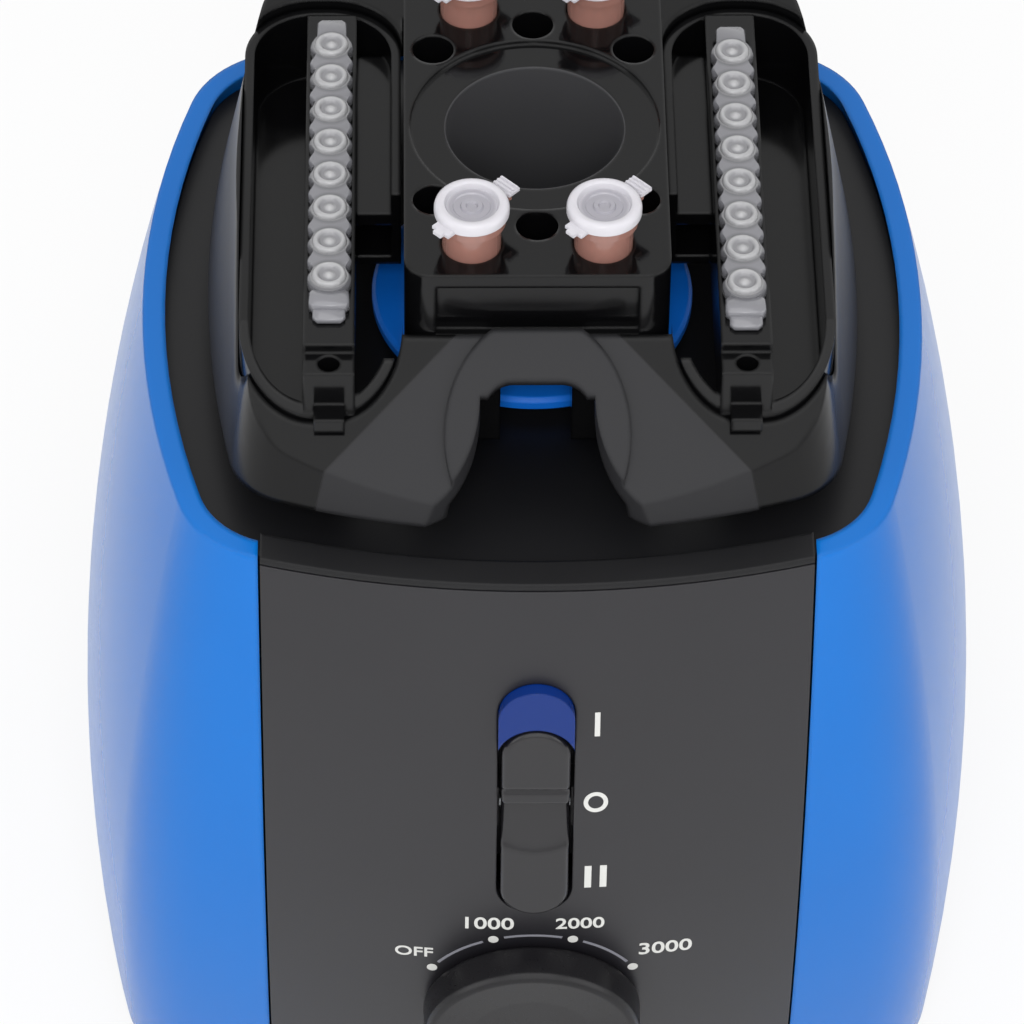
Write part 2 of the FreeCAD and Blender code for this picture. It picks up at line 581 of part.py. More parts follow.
# Motor bracket sliding on the posts, with the motor standing on it
can_low = bracket_top
can_top = can_low + s.can_height
cap_top = can_top + s.cap_thickness
floor_top = can_low + s.can_floor
shaft_room = s.motor_shaft_radius + 2
bracket_blank = slab("bracket_blank", (-s.bracket_half_width, s.bracket_half_width),
                     (-s.bracket_half_depth, s.bracket_half_depth), (bracket_low, bracket_top), motor_spot)
bracket_holes = [rod("bracket_hole_%d" % i, s.guide_radius + s.running_gap, bracket_low - 1,
                     bracket_top + 1, x, y) for i, (x, y) in enumerate(guides)]
motor_bracket = cut("motor_bracket", bracket_blank, *bracket_holes,
                    rod("shaft_room", shaft_room, bracket_low - 1, bracket_top + 1, 0, motor_y))
boss_radius = s.bearing_radius + s.boss_wall
can_inner = s.can_radius - s.can_wall
motor_can = turned("motor_can", [
    (shaft_room, can_low), (s.can_radius, can_low), (s.can_radius, can_top), (can_inner, can_top),
    (can_inner, floor_top), (boss_radius, floor_top), (boss_radius, floor_top + s.bearing_height),
    (s.bearing_radius, floor_top + s.bearing_height), (s.bearing_radius, floor_top), (shaft_room, floor_top)],
    motor_spot)
upper_top = cap_top - 1
upper_low = upper_top - s.bearing_height
motor_end_cap = turned("motor_end_cap", [
    (s.bearing_radius, upper_low), (boss_radius, upper_low), (boss_radius, can_top), (s.can_radius, can_top),
    (s.can_radius, cap_top), (shaft_room, cap_top), (shaft_room, upper_top), (s.bearing_radius, upper_top)],
    motor_spot)
shaft_bore = s.motor_shaft_radius + s.running_gap
bearing_rim = s.bearing_radius - s.seat_gap
lower_bearing = ring("lower_bearing", shaft_bore, bearing_rim, floor_top, floor_top + s.bearing_height, 0,
                     motor_y)
upper_bearing = ring("upper_bearing", shaft_bore, bearing_rim, upper_low, upper_top, 0, motor_y)
middle = can_low + s.can_height / 2
field_ring = ring("field_ring", can_inner - s.field_thickness, can_inner - s.seat_gap,
                  middle - s.field_height / 2, middle + s.field_height / 2, 0, motor_y)

# Rotor: shaft, armature, counterweight and the eccentric hub with its crank pin
shaft_low = can_low + 1.5
weight_low = cap_top + 3
weight_top = weight_low + s.weight_height
hub_low = weight_top + s.fit_gap
hub_top = hub_low + s.hub_height
shaft_top = hub_low + s.shaft_grip
motor_shaft = rod("motor_shaft", s.motor_shaft_radius, shaft_low, shaft_top, 0, motor_y)
shaft_seat = s.motor_shaft_radius + s.seat_gap / 2
armature = ring("armature", shaft_seat, can_inner - s.field_thickness - s.armature_gap,
                middle - s.armature_height / 2, middle + s.armature_height / 2, 0, motor_y)
half_disc = common("half_disc", rod("weight_disc", s.weight_radius, weight_low, weight_top, 0, motor_y),
                   slab("weight_half", (-far, far), (motor_y - far, motor_y - 1), (weight_low, weight_top)))
counterweight = cut("counterweight",
                    fuse("weight_solid", half_disc,
                         rod("weight_hub", s.weight_hub_radius, weight_low, weight_top, 0, motor_y)),
                    rod("weight_bore", shaft_seat, weight_low - 1, weight_top + 1, 0, motor_y))
pin_seat = hub_top + s.shoulder_height
hub_solid = fuse("hub_solid", rod("hub_drum", s.hub_radius, hub_low, hub_top, 0, motor_y),
                 rod("hub_shoulder", s.crank_pin_radius + 2.5, hub_top - 1, pin_seat, 0, s.head_y),
                 rod("crank_pin", s.crank_pin_radius, hub_top - 1, pin_seat + s.crank_pin_height, 0,
                     s.head_y))
hub_bore = rod("hub_bore", shaft_seat, hub_low - 1, shaft_top + s.fit_gap, 0, motor_y)
eccentric_hub = cut("eccentric_hub", hub_solid, hub_bore)

# Head: bearing on the crank pin and the blue platform that covers the deck hole
bearing_low = pin_seat + s.running_gap
bearing_top = bearing_low + s.head_bearing_height
head_bearing = ring("head_bearing", s.crank_pin_radius + s.running_gap, s.head_bearing_radius - s.seat_gap,
                    bearing_low, bearing_top, 0, s.head_y)
platform_low = deck_top + s.drip_lip_height + s.platform_lift
platform_top = platform_low + s.platform_thickness
stem_low = hub_top + 1
pin_room = pin_seat + s.crank_pin_height + 1
head_platform = turned("head_platform", [
    (s.head_bearing_radius, stem_low), (s.stem_radius, stem_low), (s.stem_radius, platform_low),
    (s.platform_radius - 0.6, platform_low), (s.platform_radius, platform_low + 0.6),
    (s.platform_radius, platform_top - 0.8), (s.platform_radius - 0.8, platform_top),
    (s.spigot_radius, platform_top), (s.spigot_radius, platform_top + s.spigot_height),
    (0, platform_top + s.spigot_height), (0, pin_room), (s.crank_pin_radius + 1, pin_room),
    (s.crank_pin_radius + 1, bearing_top + 0.2), (s.head_bearing_radius, bearing_top + 0.2)], TO_AXIS)

# Tube block: rounded block seated on the platform spigot, with its well and tube holes
block_top = platform_top + s.block_height
block_box = slab("block_box", (-s.block_half_width, s.block_half_width),
                 (-s.block_half_depth, s.block_half_depth), (platform_top, block_top), TO_AXIS)
block_blank = rounded("block_blank", block_box, s.block_corner,
                      lambda edge: edge.BoundBox.ZLength > s.block_height.number / 2)


def block_hole(name, radius, depth, x, y):
    return rod(name, radius, block_top - depth, block_top + 1, x, y, TO_AXIS)


block_holes = [block_hole("well", s.well_radius, s.well_depth, 0, 0),
               block_hole("well_ring", s.ring_radius, s.ring_depth, 0, 0),
               rod("spigot_socket", s.spigot_radius + s.fit_gap / 2, platform_top - 1,
                   platform_top + s.spigot_height + s.fit_gap, frame=TO_AXIS)]
small_spots = [(side * s.small_x, end * s.small_y) for side, end in corners]
small_spots += [(0, -s.small_centre_y), (0, s.small_centre_y)]
large_spots = [(side * s.large_x, end * s.large_y) for side, end in corners]
for kind, spots, radius, depth in (("small_hole", small_spots, s.small_radius, s.small_depth),
                                   ("large_hole", large_spots, s.large_radius, s.large_depth)):
    for i, (x, y) in enumerate(spots):
        block_holes.append(block_hole("%s_%d" % (kind, i), radius, depth, x, y))
for i, (low, high) in enumerate(((-s.block_half_depth - 1, -s.block_half_depth + s.face_recess),
                                 (s.block_half_depth - s.face_recess, s.block_half_depth + 1))):
    block_holes.append(slab("face_recess_%d" % i, (-s.face_half_width, s.face_half_width), (low, high),
                            (block_top - s.face_top - s.face_height, block_top - s.face_top), TO_AXIS))
relief_fall = s.relief_height / (s.block_half_depth - s.relief_back)
relief_outline = polygon("relief_outline", [
    (-s.block_half_depth - 1, platform_top - 1), (as_size(1) / relief_fall - s.relief_back, platform_top - 1),
    (-s.block_half_depth - 1, platform_top + s.relief_height + relief_fall)], SIDEWAYS)
block_holes.append(prism("finger_relief", relief_outline, V(1, 0, 0), 2 * s.relief_half_width,
                         spot(-s.relief_half_width, s.head_y, 0)))
tube_block = cut("tube_block", block_blank, *block_holes)

# Holder saddle: drafted shell with a sloping front, a horseshoe notch and openings for the trays
datum = s.rim_height
draft = s.saddle_draft / (s.saddle_top - s.saddle_low)


def saddle_form(name, inset, low, high):
    """Drafted holder outline between two heights, drawn in by inset."""
    walls = []
    shrink_low = inset + (low - s.saddle_low) * draft
    shrink_high = inset + (high - s.saddle_low) * draft
    for tag, radius, x, y in (("right", s.saddle_side_radius, 1, 0), ("left", s.saddle_side_radius, -1, 0),
                              ("rear", s.saddle_front_radius, 0, 1), ("fore", s.saddle_front_radius, 0, -1)):
        out_x = x * (s.saddle_half_width - radius)
        out_y = y * (s.saddle_half_depth - radius)
        walls.append(cone("%s_%s" % (name, tag), radius - shrink_low, radius - shrink_high, datum + low,
                          datum + high, out_x, out_y, TO_AXIS))
    crossed = common(name + "_crossed", *walls)
    half_height = (high.number - low.number) / 2

    def corner(edge):
        centre = edge.BoundBox.Center
        return abs(centre.x) > 30 and abs(centre.y) > 30 and edge.BoundBox.ZLength > half_height

    return rounded(name, crossed, s.saddle_corner - inset, corner)


def slope_prism(name, lift):
    """Everything under the gentle front slope, the flat top and the steep rear, raised by lift."""
    beyond = 4
    front_fall = (s.slope_top - s.slope_foot) / (s.saddle_half_depth - s.block_half_depth)
    rear_fall = (s.saddle_top - s.slope_foot) / (s.saddle_half_depth - s.rear_crest)
    front_crest = s.block_half_depth - (s.saddle_top - s.slope_top) / front_fall
    over = s.saddle_half_depth + beyond
    foot = datum + s.slope_foot + lift
    top = datum + s.saddle_top + lift
    low = datum - 10
    sketch = polygon(name + "_outline", [
        (over, low), (over, foot - beyond * rear_fall), (s.rear_crest, top), (-front_crest, top),
        (-over, foot - beyond * front_fall), (-over, low)], SIDEWAYS)
    wide = s.saddle_half_width + 10
    return prism(name, sketch, V(1, 0, 0), 2 * wide, spot(-wide, s.head_y, 0))


saddle_skin = saddle_form("saddle_skin", as_size(0), s.saddle_low, s.saddle_top)
collar = common("collar", saddle_skin, slope_prism("collar_slope", s.collar_rise),
                rod("collar_zone", s.collar_radius, datum, datum + s.saddle_top + 2, 0, -s.collar_centre,
                    TO_AXIS))
skirt = fuse("skirt", common("plain_skirt", saddle_skin, slope_prism("skin_slopes", as_size(0))), collar)
hollow = common("hollow", saddle_form("saddle_core", s.saddle_wall, s.saddle_low - 1, s.saddle_top),
                slope_prism("core_slopes", -1.25 * s.saddle_wall))


def tray_outline(name, side, inset, low, high):
    """Rounded tray plan as a prism, drawn in by inset."""
    near, far_edge = side * (s.tray_inner + inset), side * (s.tray_outer - inset)
    limits = (near, far_edge) if side > 0 else (far_edge, near)
    block = slab(name + "_block", limits, (-s.tray_front + inset, s.tray_rear - inset), (low, high), TO_AXIS)
    tall = as_size(high).number - as_size(low).number
    return rounded(name, block, s.tray_corner - inset, lambda edge: edge.BoundBox.ZLength > 0.9 * tall)


def notch(name):
    """Horseshoe notch through the front slope, its mouth eased by two round lobes."""
    low, high = datum - 2, datum + s.saddle_top + 2
    mouth = -s.saddle_half_depth - 6
    shoulder = -s.notch_top - s.notch_corner
    lobe_x = s.notch_half_width + s.lobe_radius
    lobe_y = s.lobe_radius - s.saddle_half_depth
    inner = s.notch_half_width - s.notch_corner
    throat = slab(name + "_throat", (-s.notch_half_width, s.notch_half_width), (mouth, shoulder), (low, high),
                  TO_AXIS)
    crown = slab(name + "_crown", (-inner, inner), (shoulder - 1, -s.notch_top), (low, high), TO_AXIS)
    rounds = [rod("%s_round_%d" % (name, i), s.notch_corner, low, high, side * inner, shoulder, TO_AXIS)
              for i, side in enumerate((-1, 1))]
    opened = slab(name + "_mouth", (-lobe_x, lobe_x), (mouth, lobe_y), (low, high), TO_AXIS)
    lobes = [rod("%s_lobe_%d" % (name, i), s.lobe_radius, low - 1, high + 1, side * lobe_x, lobe_y, TO_AXIS)
             for i, side in enumerate((-1, 1))]
    return fuse(name, throat, crown, *rounds, cut(name + "_flare", opened, *lobes))


def undercut(name):
    """Hollow that thins the rear edge of the notch from below, so the platform shows through it."""
    zone = slab(name + "_zone", (-s.notch_half_width, s.notch_half_width),
                (-s.notch_top - s.notch_corner, s.notch_undercut - s.notch_top),
                (datum - 2, datum + s.saddle_top + 2), TO_AXIS)
    return common(name, zone, slope_prism(name + "_slope", s.collar_rise - s.notch_edge))


saddle_openings = [tray_outline("tray_opening_%d" % i, side, -s.fit_gap, datum - 5, datum + s.saddle_top + 5)
                   for i, side in enumerate((-1, 1))]
block_room = slab("block_room", (-s.block_half_width - s.fit_gap, s.block_half_width + s.fit_gap),
                  (-s.block_half_depth - s.fit_gap, s.block_half_depth + s.fit_gap),
                  (datum - 5, datum + s.saddle_top + 5), TO_AXIS)
holder_saddle = cut("holder_saddle", skirt, hollow, *saddle_openings, block_room, notch("front_notch"),
                    undercut("notch_relief"))

# Strip trays: bowls let into the saddle, each with a slotted rail down its middle


def strip_tray(name, side):
    low, high = datum + s.tray_low, datum + s.tray_high

    def across(near, far_edge):
        pair = (side * as_size(near), side * as_size(far_edge))
        return pair if side > 0 else pair[::-1]

    bowl = cut(name + "_bowl", tray_outline(name + "_blank", side, as_size(0), low, high),
               tray_outline(name + "_pocket", side, s.tray_wall, low + s.tray_floor, high + 2),
               slab(name + "_window", across(s.tray_inner - 1, s.rail_x - s.rail_half_width + 0.2),
                    (-s.window_end, -s.window_start), (low - 1, high + 1), TO_AXIS))
    trimmed = common(name + "_trimmed", bowl, slope_prism(name + "_slopes", as_size(1)))
    rail_span = across(s.rail_x - s.rail_half_width, s.rail_x + s.rail_half_width)
    rail = slab(name + "_rail", rail_span, (-s.rail_front, s.rail_rear), (low, datum + s.rail_top), TO_AXIS)
    step = slab(name + "_step", rail_span, (-s.tray_front + 0.4, -s.rail_front + 1),
                (low, datum + s.rail_step), TO_AXIS)
    web = slab(name + "_web", across(s.tray_inner, s.rail_x), (-s.window_start, s.web_rear),
               (datum + s.web_low, datum + s.web_low + s.web_thickness), TO_AXIS)
    clip_low = datum + s.clip_low
    clip = slab(name + "_clip", across(s.rail_x - s.clip_half_width, s.rail_x + s.clip_half_width),
                (-s.tray_front - s.clip_length, -s.rail_front), (clip_low, clip_low + s.clip_height), TO_AXIS)
    slot_front = s.strip_start_right + s.rail_slot + 0.2
    slot = slab(name + "_slot", across(s.rail_x - s.rail_slot, s.rail_x + s.rail_slot),
                (-slot_front, s.rail_slot_rear), (low - 1, datum + s.rail_top + 1), TO_AXIS)
    hole = rod(name + "_hole", s.rail_hole_radius, low + 5, datum + s.rail_top, side * s.rail_x,
               -s.rail_hole_y, TO_AXIS)
    return cut(name, fuse(name + "_solid", trimmed, rail, step, web, clip), slot, hole)


strip_tray_left = strip_tray("strip_tray_left", -1)
strip_tray_right = strip_tray("strip_tray_right", 1)

# Tube strips: eight tapered tubes with caps on one bar, with a grip in front and a tab behind


def tube_strip(name, side, start):
    seat = datum + s.rail_top
    pieces = []
    count = int(SIZES["strip_count"])
    for i in range(count):
        y = i * s.strip_pitch - start
        pieces.append(cone("%s_tube_%d" % (name, i), s.strip_tip_radius, s.strip_tube_radius,
                           seat - s.strip_tube_length, seat + 0.5, side * s.rail_x, y, TO_AXIS))
        pieces.append(rod("%s_cap_%d" % (name, i), s.strip_cap_radius, seat, seat + s.strip_cap_height,
                          side * s.rail_x, y, TO_AXIS))
    last = (count - 1) * s.strip_pitch - start
    x = (side * s.rail_x - s.strip_bar_half_width, side * s.rail_x + s.strip_bar_half_width)
    pieces.append(slab(name + "_bar", x, (-start - s.strip_cap_radius - s.strip_grip_length,
                                           last + s.strip_cap_radius + s.strip_tab_length),
                       (seat, seat + s.strip_bar_thickness), TO_AXIS))
    return fuse(name, *pieces)


tube_strip_left = tube_strip("tube_strip_left", -1, s.strip_start_left)
tube_strip_right = tube_strip("tube_strip_right", 1, s.strip_start_right)

# Microtubes: tapered tube with a lip, hinged lid with plug and thumb tab, and the liquid inside
tube_nodes = []
tube_low = block_top - s.large_depth
lip_top = tube_low + s.tube_length
inner_radius = s.tube_radius - s.tube_wall
tip_bore = s.tube_tip_radius - s.tube_wall / 2
tube_floor = tube_low + 1.2
hinge_high = lip_top + s.lid_gap + s.strap_thickness
for tag, (x, y) in zip(("front_left", "rear_left", "front_right", "rear_right"), large_spots):
    here = "%s * %s" % (TO_AXIS, spot(x, y, 0, angle="45"))
    cone_top = tube_low + s.tube_cone
    tube = turned("tube_wall_" + tag, [
        (0, tube_low), (s.tube_tip_radius, tube_low), (s.tube_radius, cone_top),
        (s.tube_radius, lip_top - s.tube_lip_height), (s.tube_lip_radius, lip_top - s.tube_lip_height),
        (s.tube_lip_radius, lip_top), (inner_radius, lip_top), (inner_radius, cone_top + 0.3),
        (tip_bore, tube_floor), (0, tube_floor)], here)
    stub = slab("strap_stub_" + tag, (s.tube_lip_radius - 0.4, s.strap_reach - 0.2),
                (-s.strap_half_width, s.strap_half_width), (lip_top - s.strap_thickness, lip_top), here)
    tube_nodes.append(fuse("microtube_" + tag, tube, stub))
    lid_low = lip_top + s.lid_gap
    lid = turned("lid_disc_" + tag, [
        (0, lip_top - s.plug_depth), (inner_radius - s.plug_gap, lip_top - s.plug_depth),
        (inner_radius - s.plug_gap, lid_low), (s.lid_radius, lid_low), (s.lid_radius, lid_low + 1.6),
        (s.lid_radius - 0.9, lid_low + s.lid_thickness), (0, lid_low + s.lid_thickness)], here)
    strap = slab("lid_strap_" + tag, (s.lid_radius - 0.6, s.strap_reach - 0.2),
                 (-s.strap_half_width, s.strap_half_width), (lid_low, hinge_high), here)
    thumb_root = 0.6 - s.lid_radius
    thumb_plan = polygon("thumb_plan_" + tag, [
        (-s.thumb_reach, -0.6), (thumb_root, -s.thumb_half_width), (thumb_root, s.thumb_half_width),
        (-s.thumb_reach, 0.6)])
    thumb = prism("thumb_" + tag, thumb_plan, V(0, 0, 1), s.strap_thickness,
                  "%s * %s" % (here, spot(0, 0, lid_low)))
    tube_nodes.append(fuse("tube_lid_" + tag, lid, strap, thumb))
    level = tube_low + s.liquid_level
    pool_low = tube_floor + s.liquid_gap
    pool_radius = inner_radius - s.liquid_gap
    tube_nodes.append(turned("tube_liquid_" + tag, [
        (0, pool_low), (tip_bore - s.liquid_gap, pool_low), (pool_radius, cone_top + 0.3 + s.liquid_gap),
        (pool_radius, level), (0, level)], here))

# Circuit board on two brackets beside the motor, and the touch switch under the motor bracket
board_right = s.board_x + s.board_thickness
circuit_board = slab("circuit_board", (s.board_x, board_right),
                     (-s.board_half_length, s.board_half_length), (s.board_low, s.board_high), TO_AXIS)
board_brackets = group("board_brackets", *[
    slab("board_bracket_%d" % i, (s.board_x - s.board_bracket_depth, s.board_x),
         (end * s.board_bracket_y - s.board_bracket_half, end * s.board_bracket_y + s.board_bracket_half),
         (base_top, base_top + s.board_bracket_height), TO_AXIS) for i, end in enumerate((-1, 1))])
capacitor = cross_rod("capacitor", s.capacitor_radius, s.board_x - s.capacitor_length, s.board_x,
                      s.capacitor_y, s.capacitor_z, ALONG_X, TO_AXIS)
heat_sink = slab("heat_sink", (s.board_x - s.sink_depth, s.board_x),
                 (-s.sink_y - s.sink_half, -s.sink_y + s.sink_half), (s.sink_low, s.sink_high), TO_AXIS)
board_components = group("board_components", capacitor, heat_sink)
touch_switch = slab("touch_switch", (-s.touch_half_width, s.touch_half_width),
                    (-s.touch_y - s.touch_half_depth, -s.touch_y + s.touch_half_depth),
                    (ballast_top, bracket_low - s.touch_gap), motor_spot)

# Export: every node is checked and written under its own label
nodes = [housing, base_plate, rubber_feet, foot_screws, housing_screws, top_deck, front_panel, rocker,
         rocker_pin, switch_body, pilot_lens, pilot_lamp, speed_knob, speed_control, control_shaft,
         control_nut, power_inlet, inlet_pins, ballast_plate, guide_posts, rubber_mounts, guide_nuts,
         motor_bracket, motor_can, motor_end_cap, lower_bearing, upper_bearing, field_ring, motor_shaft,
         armature, counterweight, eccentric_hub, head_bearing, head_platform, tube_block, holder_saddle,
         strip_tray_left, strip_tray_right, tube_strip_left, tube_strip_right, circuit_board,
         board_brackets, board_components, touch_switch] + tube_nodes
doc.recompute()
for thing in doc.Objects:
    if "Invalid" in thing.State or "Error" in thing.State:
        raise RuntimeError("%s did not build: %s" % (thing.Label, thing.State))
os.makedirs("parts", exist_ok=True)
for node in nodes:
    if node.Shape.isNull() or not node.Shape.isValid():
        raise RuntimeError("%s has no valid shape" % node.Label)
    node.Shape.exportStep("parts/%s.step" % node.Label)
    print("%-24s %2d solids  %10.1f mm3" % (node.Label, len(node.Shape.Solids), node.Shape.Volume))
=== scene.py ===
import math
import bmesh
import bpy
from mathutils import Matrix, Vector


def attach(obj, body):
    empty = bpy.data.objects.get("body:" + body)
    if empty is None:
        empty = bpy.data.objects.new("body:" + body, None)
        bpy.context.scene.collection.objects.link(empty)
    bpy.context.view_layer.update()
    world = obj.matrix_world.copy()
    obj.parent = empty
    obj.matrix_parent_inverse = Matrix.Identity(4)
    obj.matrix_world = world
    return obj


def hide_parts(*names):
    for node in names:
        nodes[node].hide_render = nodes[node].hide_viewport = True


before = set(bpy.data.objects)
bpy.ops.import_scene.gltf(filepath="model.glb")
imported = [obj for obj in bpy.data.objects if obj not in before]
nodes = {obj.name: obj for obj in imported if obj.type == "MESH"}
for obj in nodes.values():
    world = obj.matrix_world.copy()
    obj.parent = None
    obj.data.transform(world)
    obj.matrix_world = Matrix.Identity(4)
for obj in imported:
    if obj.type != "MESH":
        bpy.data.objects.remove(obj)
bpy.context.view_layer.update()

# Housing: the barrel shell with a rim round its top, open in front for the panel.
# It is cast in light alloy, sprayed with blue enamel and baked, and screws hold it down on the base plate.
MM = 0.001
drift_mm = 45.0


def linear(text):
    """Colour written as sRGB hex, in the linear values that shaders use."""
    values = [int(text[i:i + 2], 16) / 255 for i in (1, 3, 5)]
    return [v / 12.92 if v <= 0.04045 else ((v + 0.055) / 1.055) ** 2.4 for v in values] + [1.0]


def add(tree, kind, props=None, **inputs):
    """One shader node; each input, by name or as _0, _1 by place, is a value or a socket to link.
    The setting named tones gives a colour ramp its (place, colour) stops, from 0 to 1."""
    node = tree.nodes.new("ShaderNode" + kind)
    for key, value in (props or {}).items():
        if key != "tones":
            setattr(node, key, value)
            continue
        stops = node.color_ramp.elements
        for place, colour in value:
            stop = stops[0] if place == 0 else stops[-1] if place == 1 else stops.new(place)
            stop.color = linear(colour)
    for key, value in inputs.items():
        socket = node.inputs[int(key[1:]) if key[0] == "_" else key.replace("_", " ")]
        if isinstance(value, bpy.types.NodeSocket):
            tree.links.new(value, socket)
        else:
            socket.default_value = value
    return node


def moulded(name, dark, pale, grain_mm, depth_mm, rough, edge_mm, **shader):
    """Cast, moulded or painted surface: slow colour drift, fine grain and eased edges.
    Grain that is too fine to show is drawn coarser, at 0.25 to 0.45 mm."""
    material = bpy.data.materials.new(name)
    material.use_nodes = True
    tree = material.node_tree
    tree.nodes.clear()
    place = add(tree, "TexCoord").outputs["Object"]
    drift = add(tree, "TexNoise", Vector=place, Scale=1000.0 / drift_mm, Detail=2.0).outputs[0]
    grain = add(tree, "TexNoise", Vector=place, Scale=1000.0 / grain_mm, Detail=3.0).outputs[0]
    colour = add(tree, "ValToRGB", {"tones": ((0, dark), (1, pale))}, Fac=drift).outputs[0]
    gloss = add(tree, "MapRange", Value=grain, To_Min=rough[0], To_Max=rough[1]).outputs[0]
    eased = add(tree, "Bevel", {"samples": 6}, Radius=edge_mm * MM).outputs[0]
    bump = add(tree, "Bump", Strength=0.6, Distance=depth_mm * MM, Height=grain, Normal=eased).outputs[0]
    bsdf = add(tree, "BsdfPrincipled", Base_Color=colour, Roughness=gloss, Normal=bump, **shader)
    add(tree, "OutputMaterial", Surface=bsdf.outputs[0])
    return material


def paint(material, *names):
    """Gives these nodes a material."""
    for name in names:
        slots = nodes[name].data.materials
        slots.clear()
        slots.append(material)


# Sprayed enamel has a faint orange peel under a hard gloss, and goes pale where it is seen edge on
enamel = moulded("blue_baked_enamel", "#0766BA", "#0A6CC2", 3.0, 0.002, (0.16, 0.22), 1.4,
                 Specular_IOR_Level=0.28)
paint(enamel, "housing")

# Base plate, feet and screws: a moulded plate that fills the foot of the shell and stands on rubber feet.
# Steel screws hold the feet to the plate, and the plate to the shell.
# Moulded rubber is dull, with a slight bloom and no clear reflection
rubber = moulded("black_moulded_rubber", "#141414", "#1D1D1C", 0.7, 0.03, (0.72, 0.88), 0.5)
# Machined steel is bright, with fine tool marks that blur what it mirrors
steel = moulded("machined_steel", "#8E9194", "#A3A6A8", 0.35, 0.004, (0.22, 0.42), 0.3, Metallic=1.0)
# A spark-eroded mould leaves a fine even grain, so the black looks soft
satin = moulded("black_spark_eroded_plastic", "#1D1C1F", "#232225", 0.35, 0.012, (0.40, 0.52), 0.5)
paint(satin, "base_plate")
paint(rubber, "rubber_feet")
paint(steel, "foot_screws", "housing_screws")

# Motor unit: an iron ballast plate carries steel guide posts, and the motor's bracket slides on them.
# Rubber mounts and nuts hold the bracket; motor, counterweight and crank stand on it, inside the housing.
# Painted cast iron has an uneven skin under dull dark paint
iron = moulded("painted_cast_iron", "#26272A", "#303134", 1.2, 0.05, (0.5, 0.7), 0.6)
# Die-cast aluminium is a pale metal with a satin flow skin
alloy = moulded("die_cast_aluminium", "#A7A9AC", "#B8BABC", 0.8, 0.01, (0.35, 0.5), 0.5, Metallic=1.0)
# Sintered ferrite is charcoal grey and chalky
ferrite = moulded("sintered_ferrite", "#1F1F22", "#2A2A2D", 0.5, 0.02, (0.6, 0.8), 0.3)
paint(iron, "ballast_plate")
paint(rubber, "rubber_mounts")
paint(alloy, "motor_end_cap")
paint(ferrite, "field_ring")
paint(steel, "guide_posts", "guide_nuts", "motor_bracket", "motor_can", "lower_bearing", "upper_bearing",
      "motor_shaft", "armature", "counterweight", "eccentric_hub", "head_bearing")

# Electronics: a board on two brackets beside the motor, and a touch switch under the motor's bracket.
# The switch body and the speed control are behind the panel, with a steel pin, shaft and nut.
# A lacquered board is deep green with a wet shine
lacquer = moulded("green_lacquered_board", "#0B4A26", "#0E5A30", 0.9, 0.01, (0.3, 0.4), 0.2)
paint(lacquer, "circuit_board")
paint(alloy, "board_brackets", "board_components")
paint(satin, "switch_body", "speed_control", "touch_switch")
paint(steel, "rocker_pin", "control_shaft", "control_nut")

# Power inlet: a moulded black socket with a flange, let into the rear wall.
# Three pressed contacts stand in it, plated so that they don't tarnish.
# Nickel over brass is a warm bright metal, kept smooth by the plug
contact = moulded("nickel_plated_brass", "#B9A978", "#C6B88C", 0.3, 0.003, (0.2, 0.3), 0.15, Metallic=1.0)
paint(satin, "power_inlet")
paint(contact, "inlet_pins")

# Top deck: a moulded black plate let into the rim, with a drip lip round the hole for the head.
# A web and a lip along its front close the rim over the panel.
# Its fine even grain breaks up reflections, so it stays dark under the holder
deck = moulded("black_textured_deck", "#0D0D0F", "#131315", 0.45, 0.012, (0.36, 0.48), 0.7,
               Specular_IOR_Level=0.3)
paint(deck, "top_deck")

# Front panel: a moulded black fascia, curved both ways with the shell and set in between two seams.
# Switch marks, dial dots and numbers are screen-printed in pale ink, here as thin films on the face.
head_y, rim_height = 3.819, 160.0
plan_radius, rim_half_depth = 190.0, 76.0
front_arc, front_apex = 320.0, 78.0
film = 0.05
# A satin mould gives the face one even dark sheen
fascia = moulded("satin_black_fascia", "#17161A", "#1D1C20", 0.30, 0.008, (0.34, 0.44), 0.6)
# Screen ink is flat and pale, and the thinner grey ink of the scale is dimmer
ink = moulded("pale_screen_ink", "#C9C9C6", "#D6D6D2", 0.25, 0.004, (0.55, 0.7), 0.02)
arc_ink = moulded("grey_screen_ink", "#77777F", "#83838B", 0.25, 0.004, (0.55, 0.7), 0.02)
paint(fascia, "front_panel")


def reach(drop):
    """Distance in mm from the body axis to the middle of the front face, a drop below the rim."""
    apex = math.sqrt(front_arc ** 2 - front_apex ** 2)
    return rim_half_depth + math.sqrt(front_arc ** 2 - (drop - front_apex) ** 2) - apex


def on_panel(x, drop, lift):
    """Point on the curved panel, lifted off it, from a place across it and a drop below the rim."""
    axis = plan_radius - rim_half_depth
    radius = reach(drop) + axis + lift
    return Vector((x, head_y + axis - math.sqrt(radius ** 2 - x ** 2), rim_height - drop)) * MM


def meshed(name, form, sharp=35):
    """Mesh from an edited form, smooth apart from its sharp edges."""
    bmesh.ops.recalc_face_normals(form, faces=form.faces)
    mesh = bpy.data.meshes.new(name)
    form.to_mesh(mesh)
    form.free()
    mesh.polygons.foreach_set("use_smooth", [True] * len(mesh.polygons))
    mesh.set_sharp_from_angle(angle=math.radians(sharp))
    return mesh


def piece(name, mesh, body, slot, material, *replaced):
    """Finished object riding on a body, in place of any nodes named."""
    mesh.materials.clear()
    mesh.materials.append(material)
    thing = bpy.data.objects.new(name, mesh)
    bpy.context.scene.collection.objects.link(thing)
    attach(thing, body)
    if replaced:
        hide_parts(*replaced)


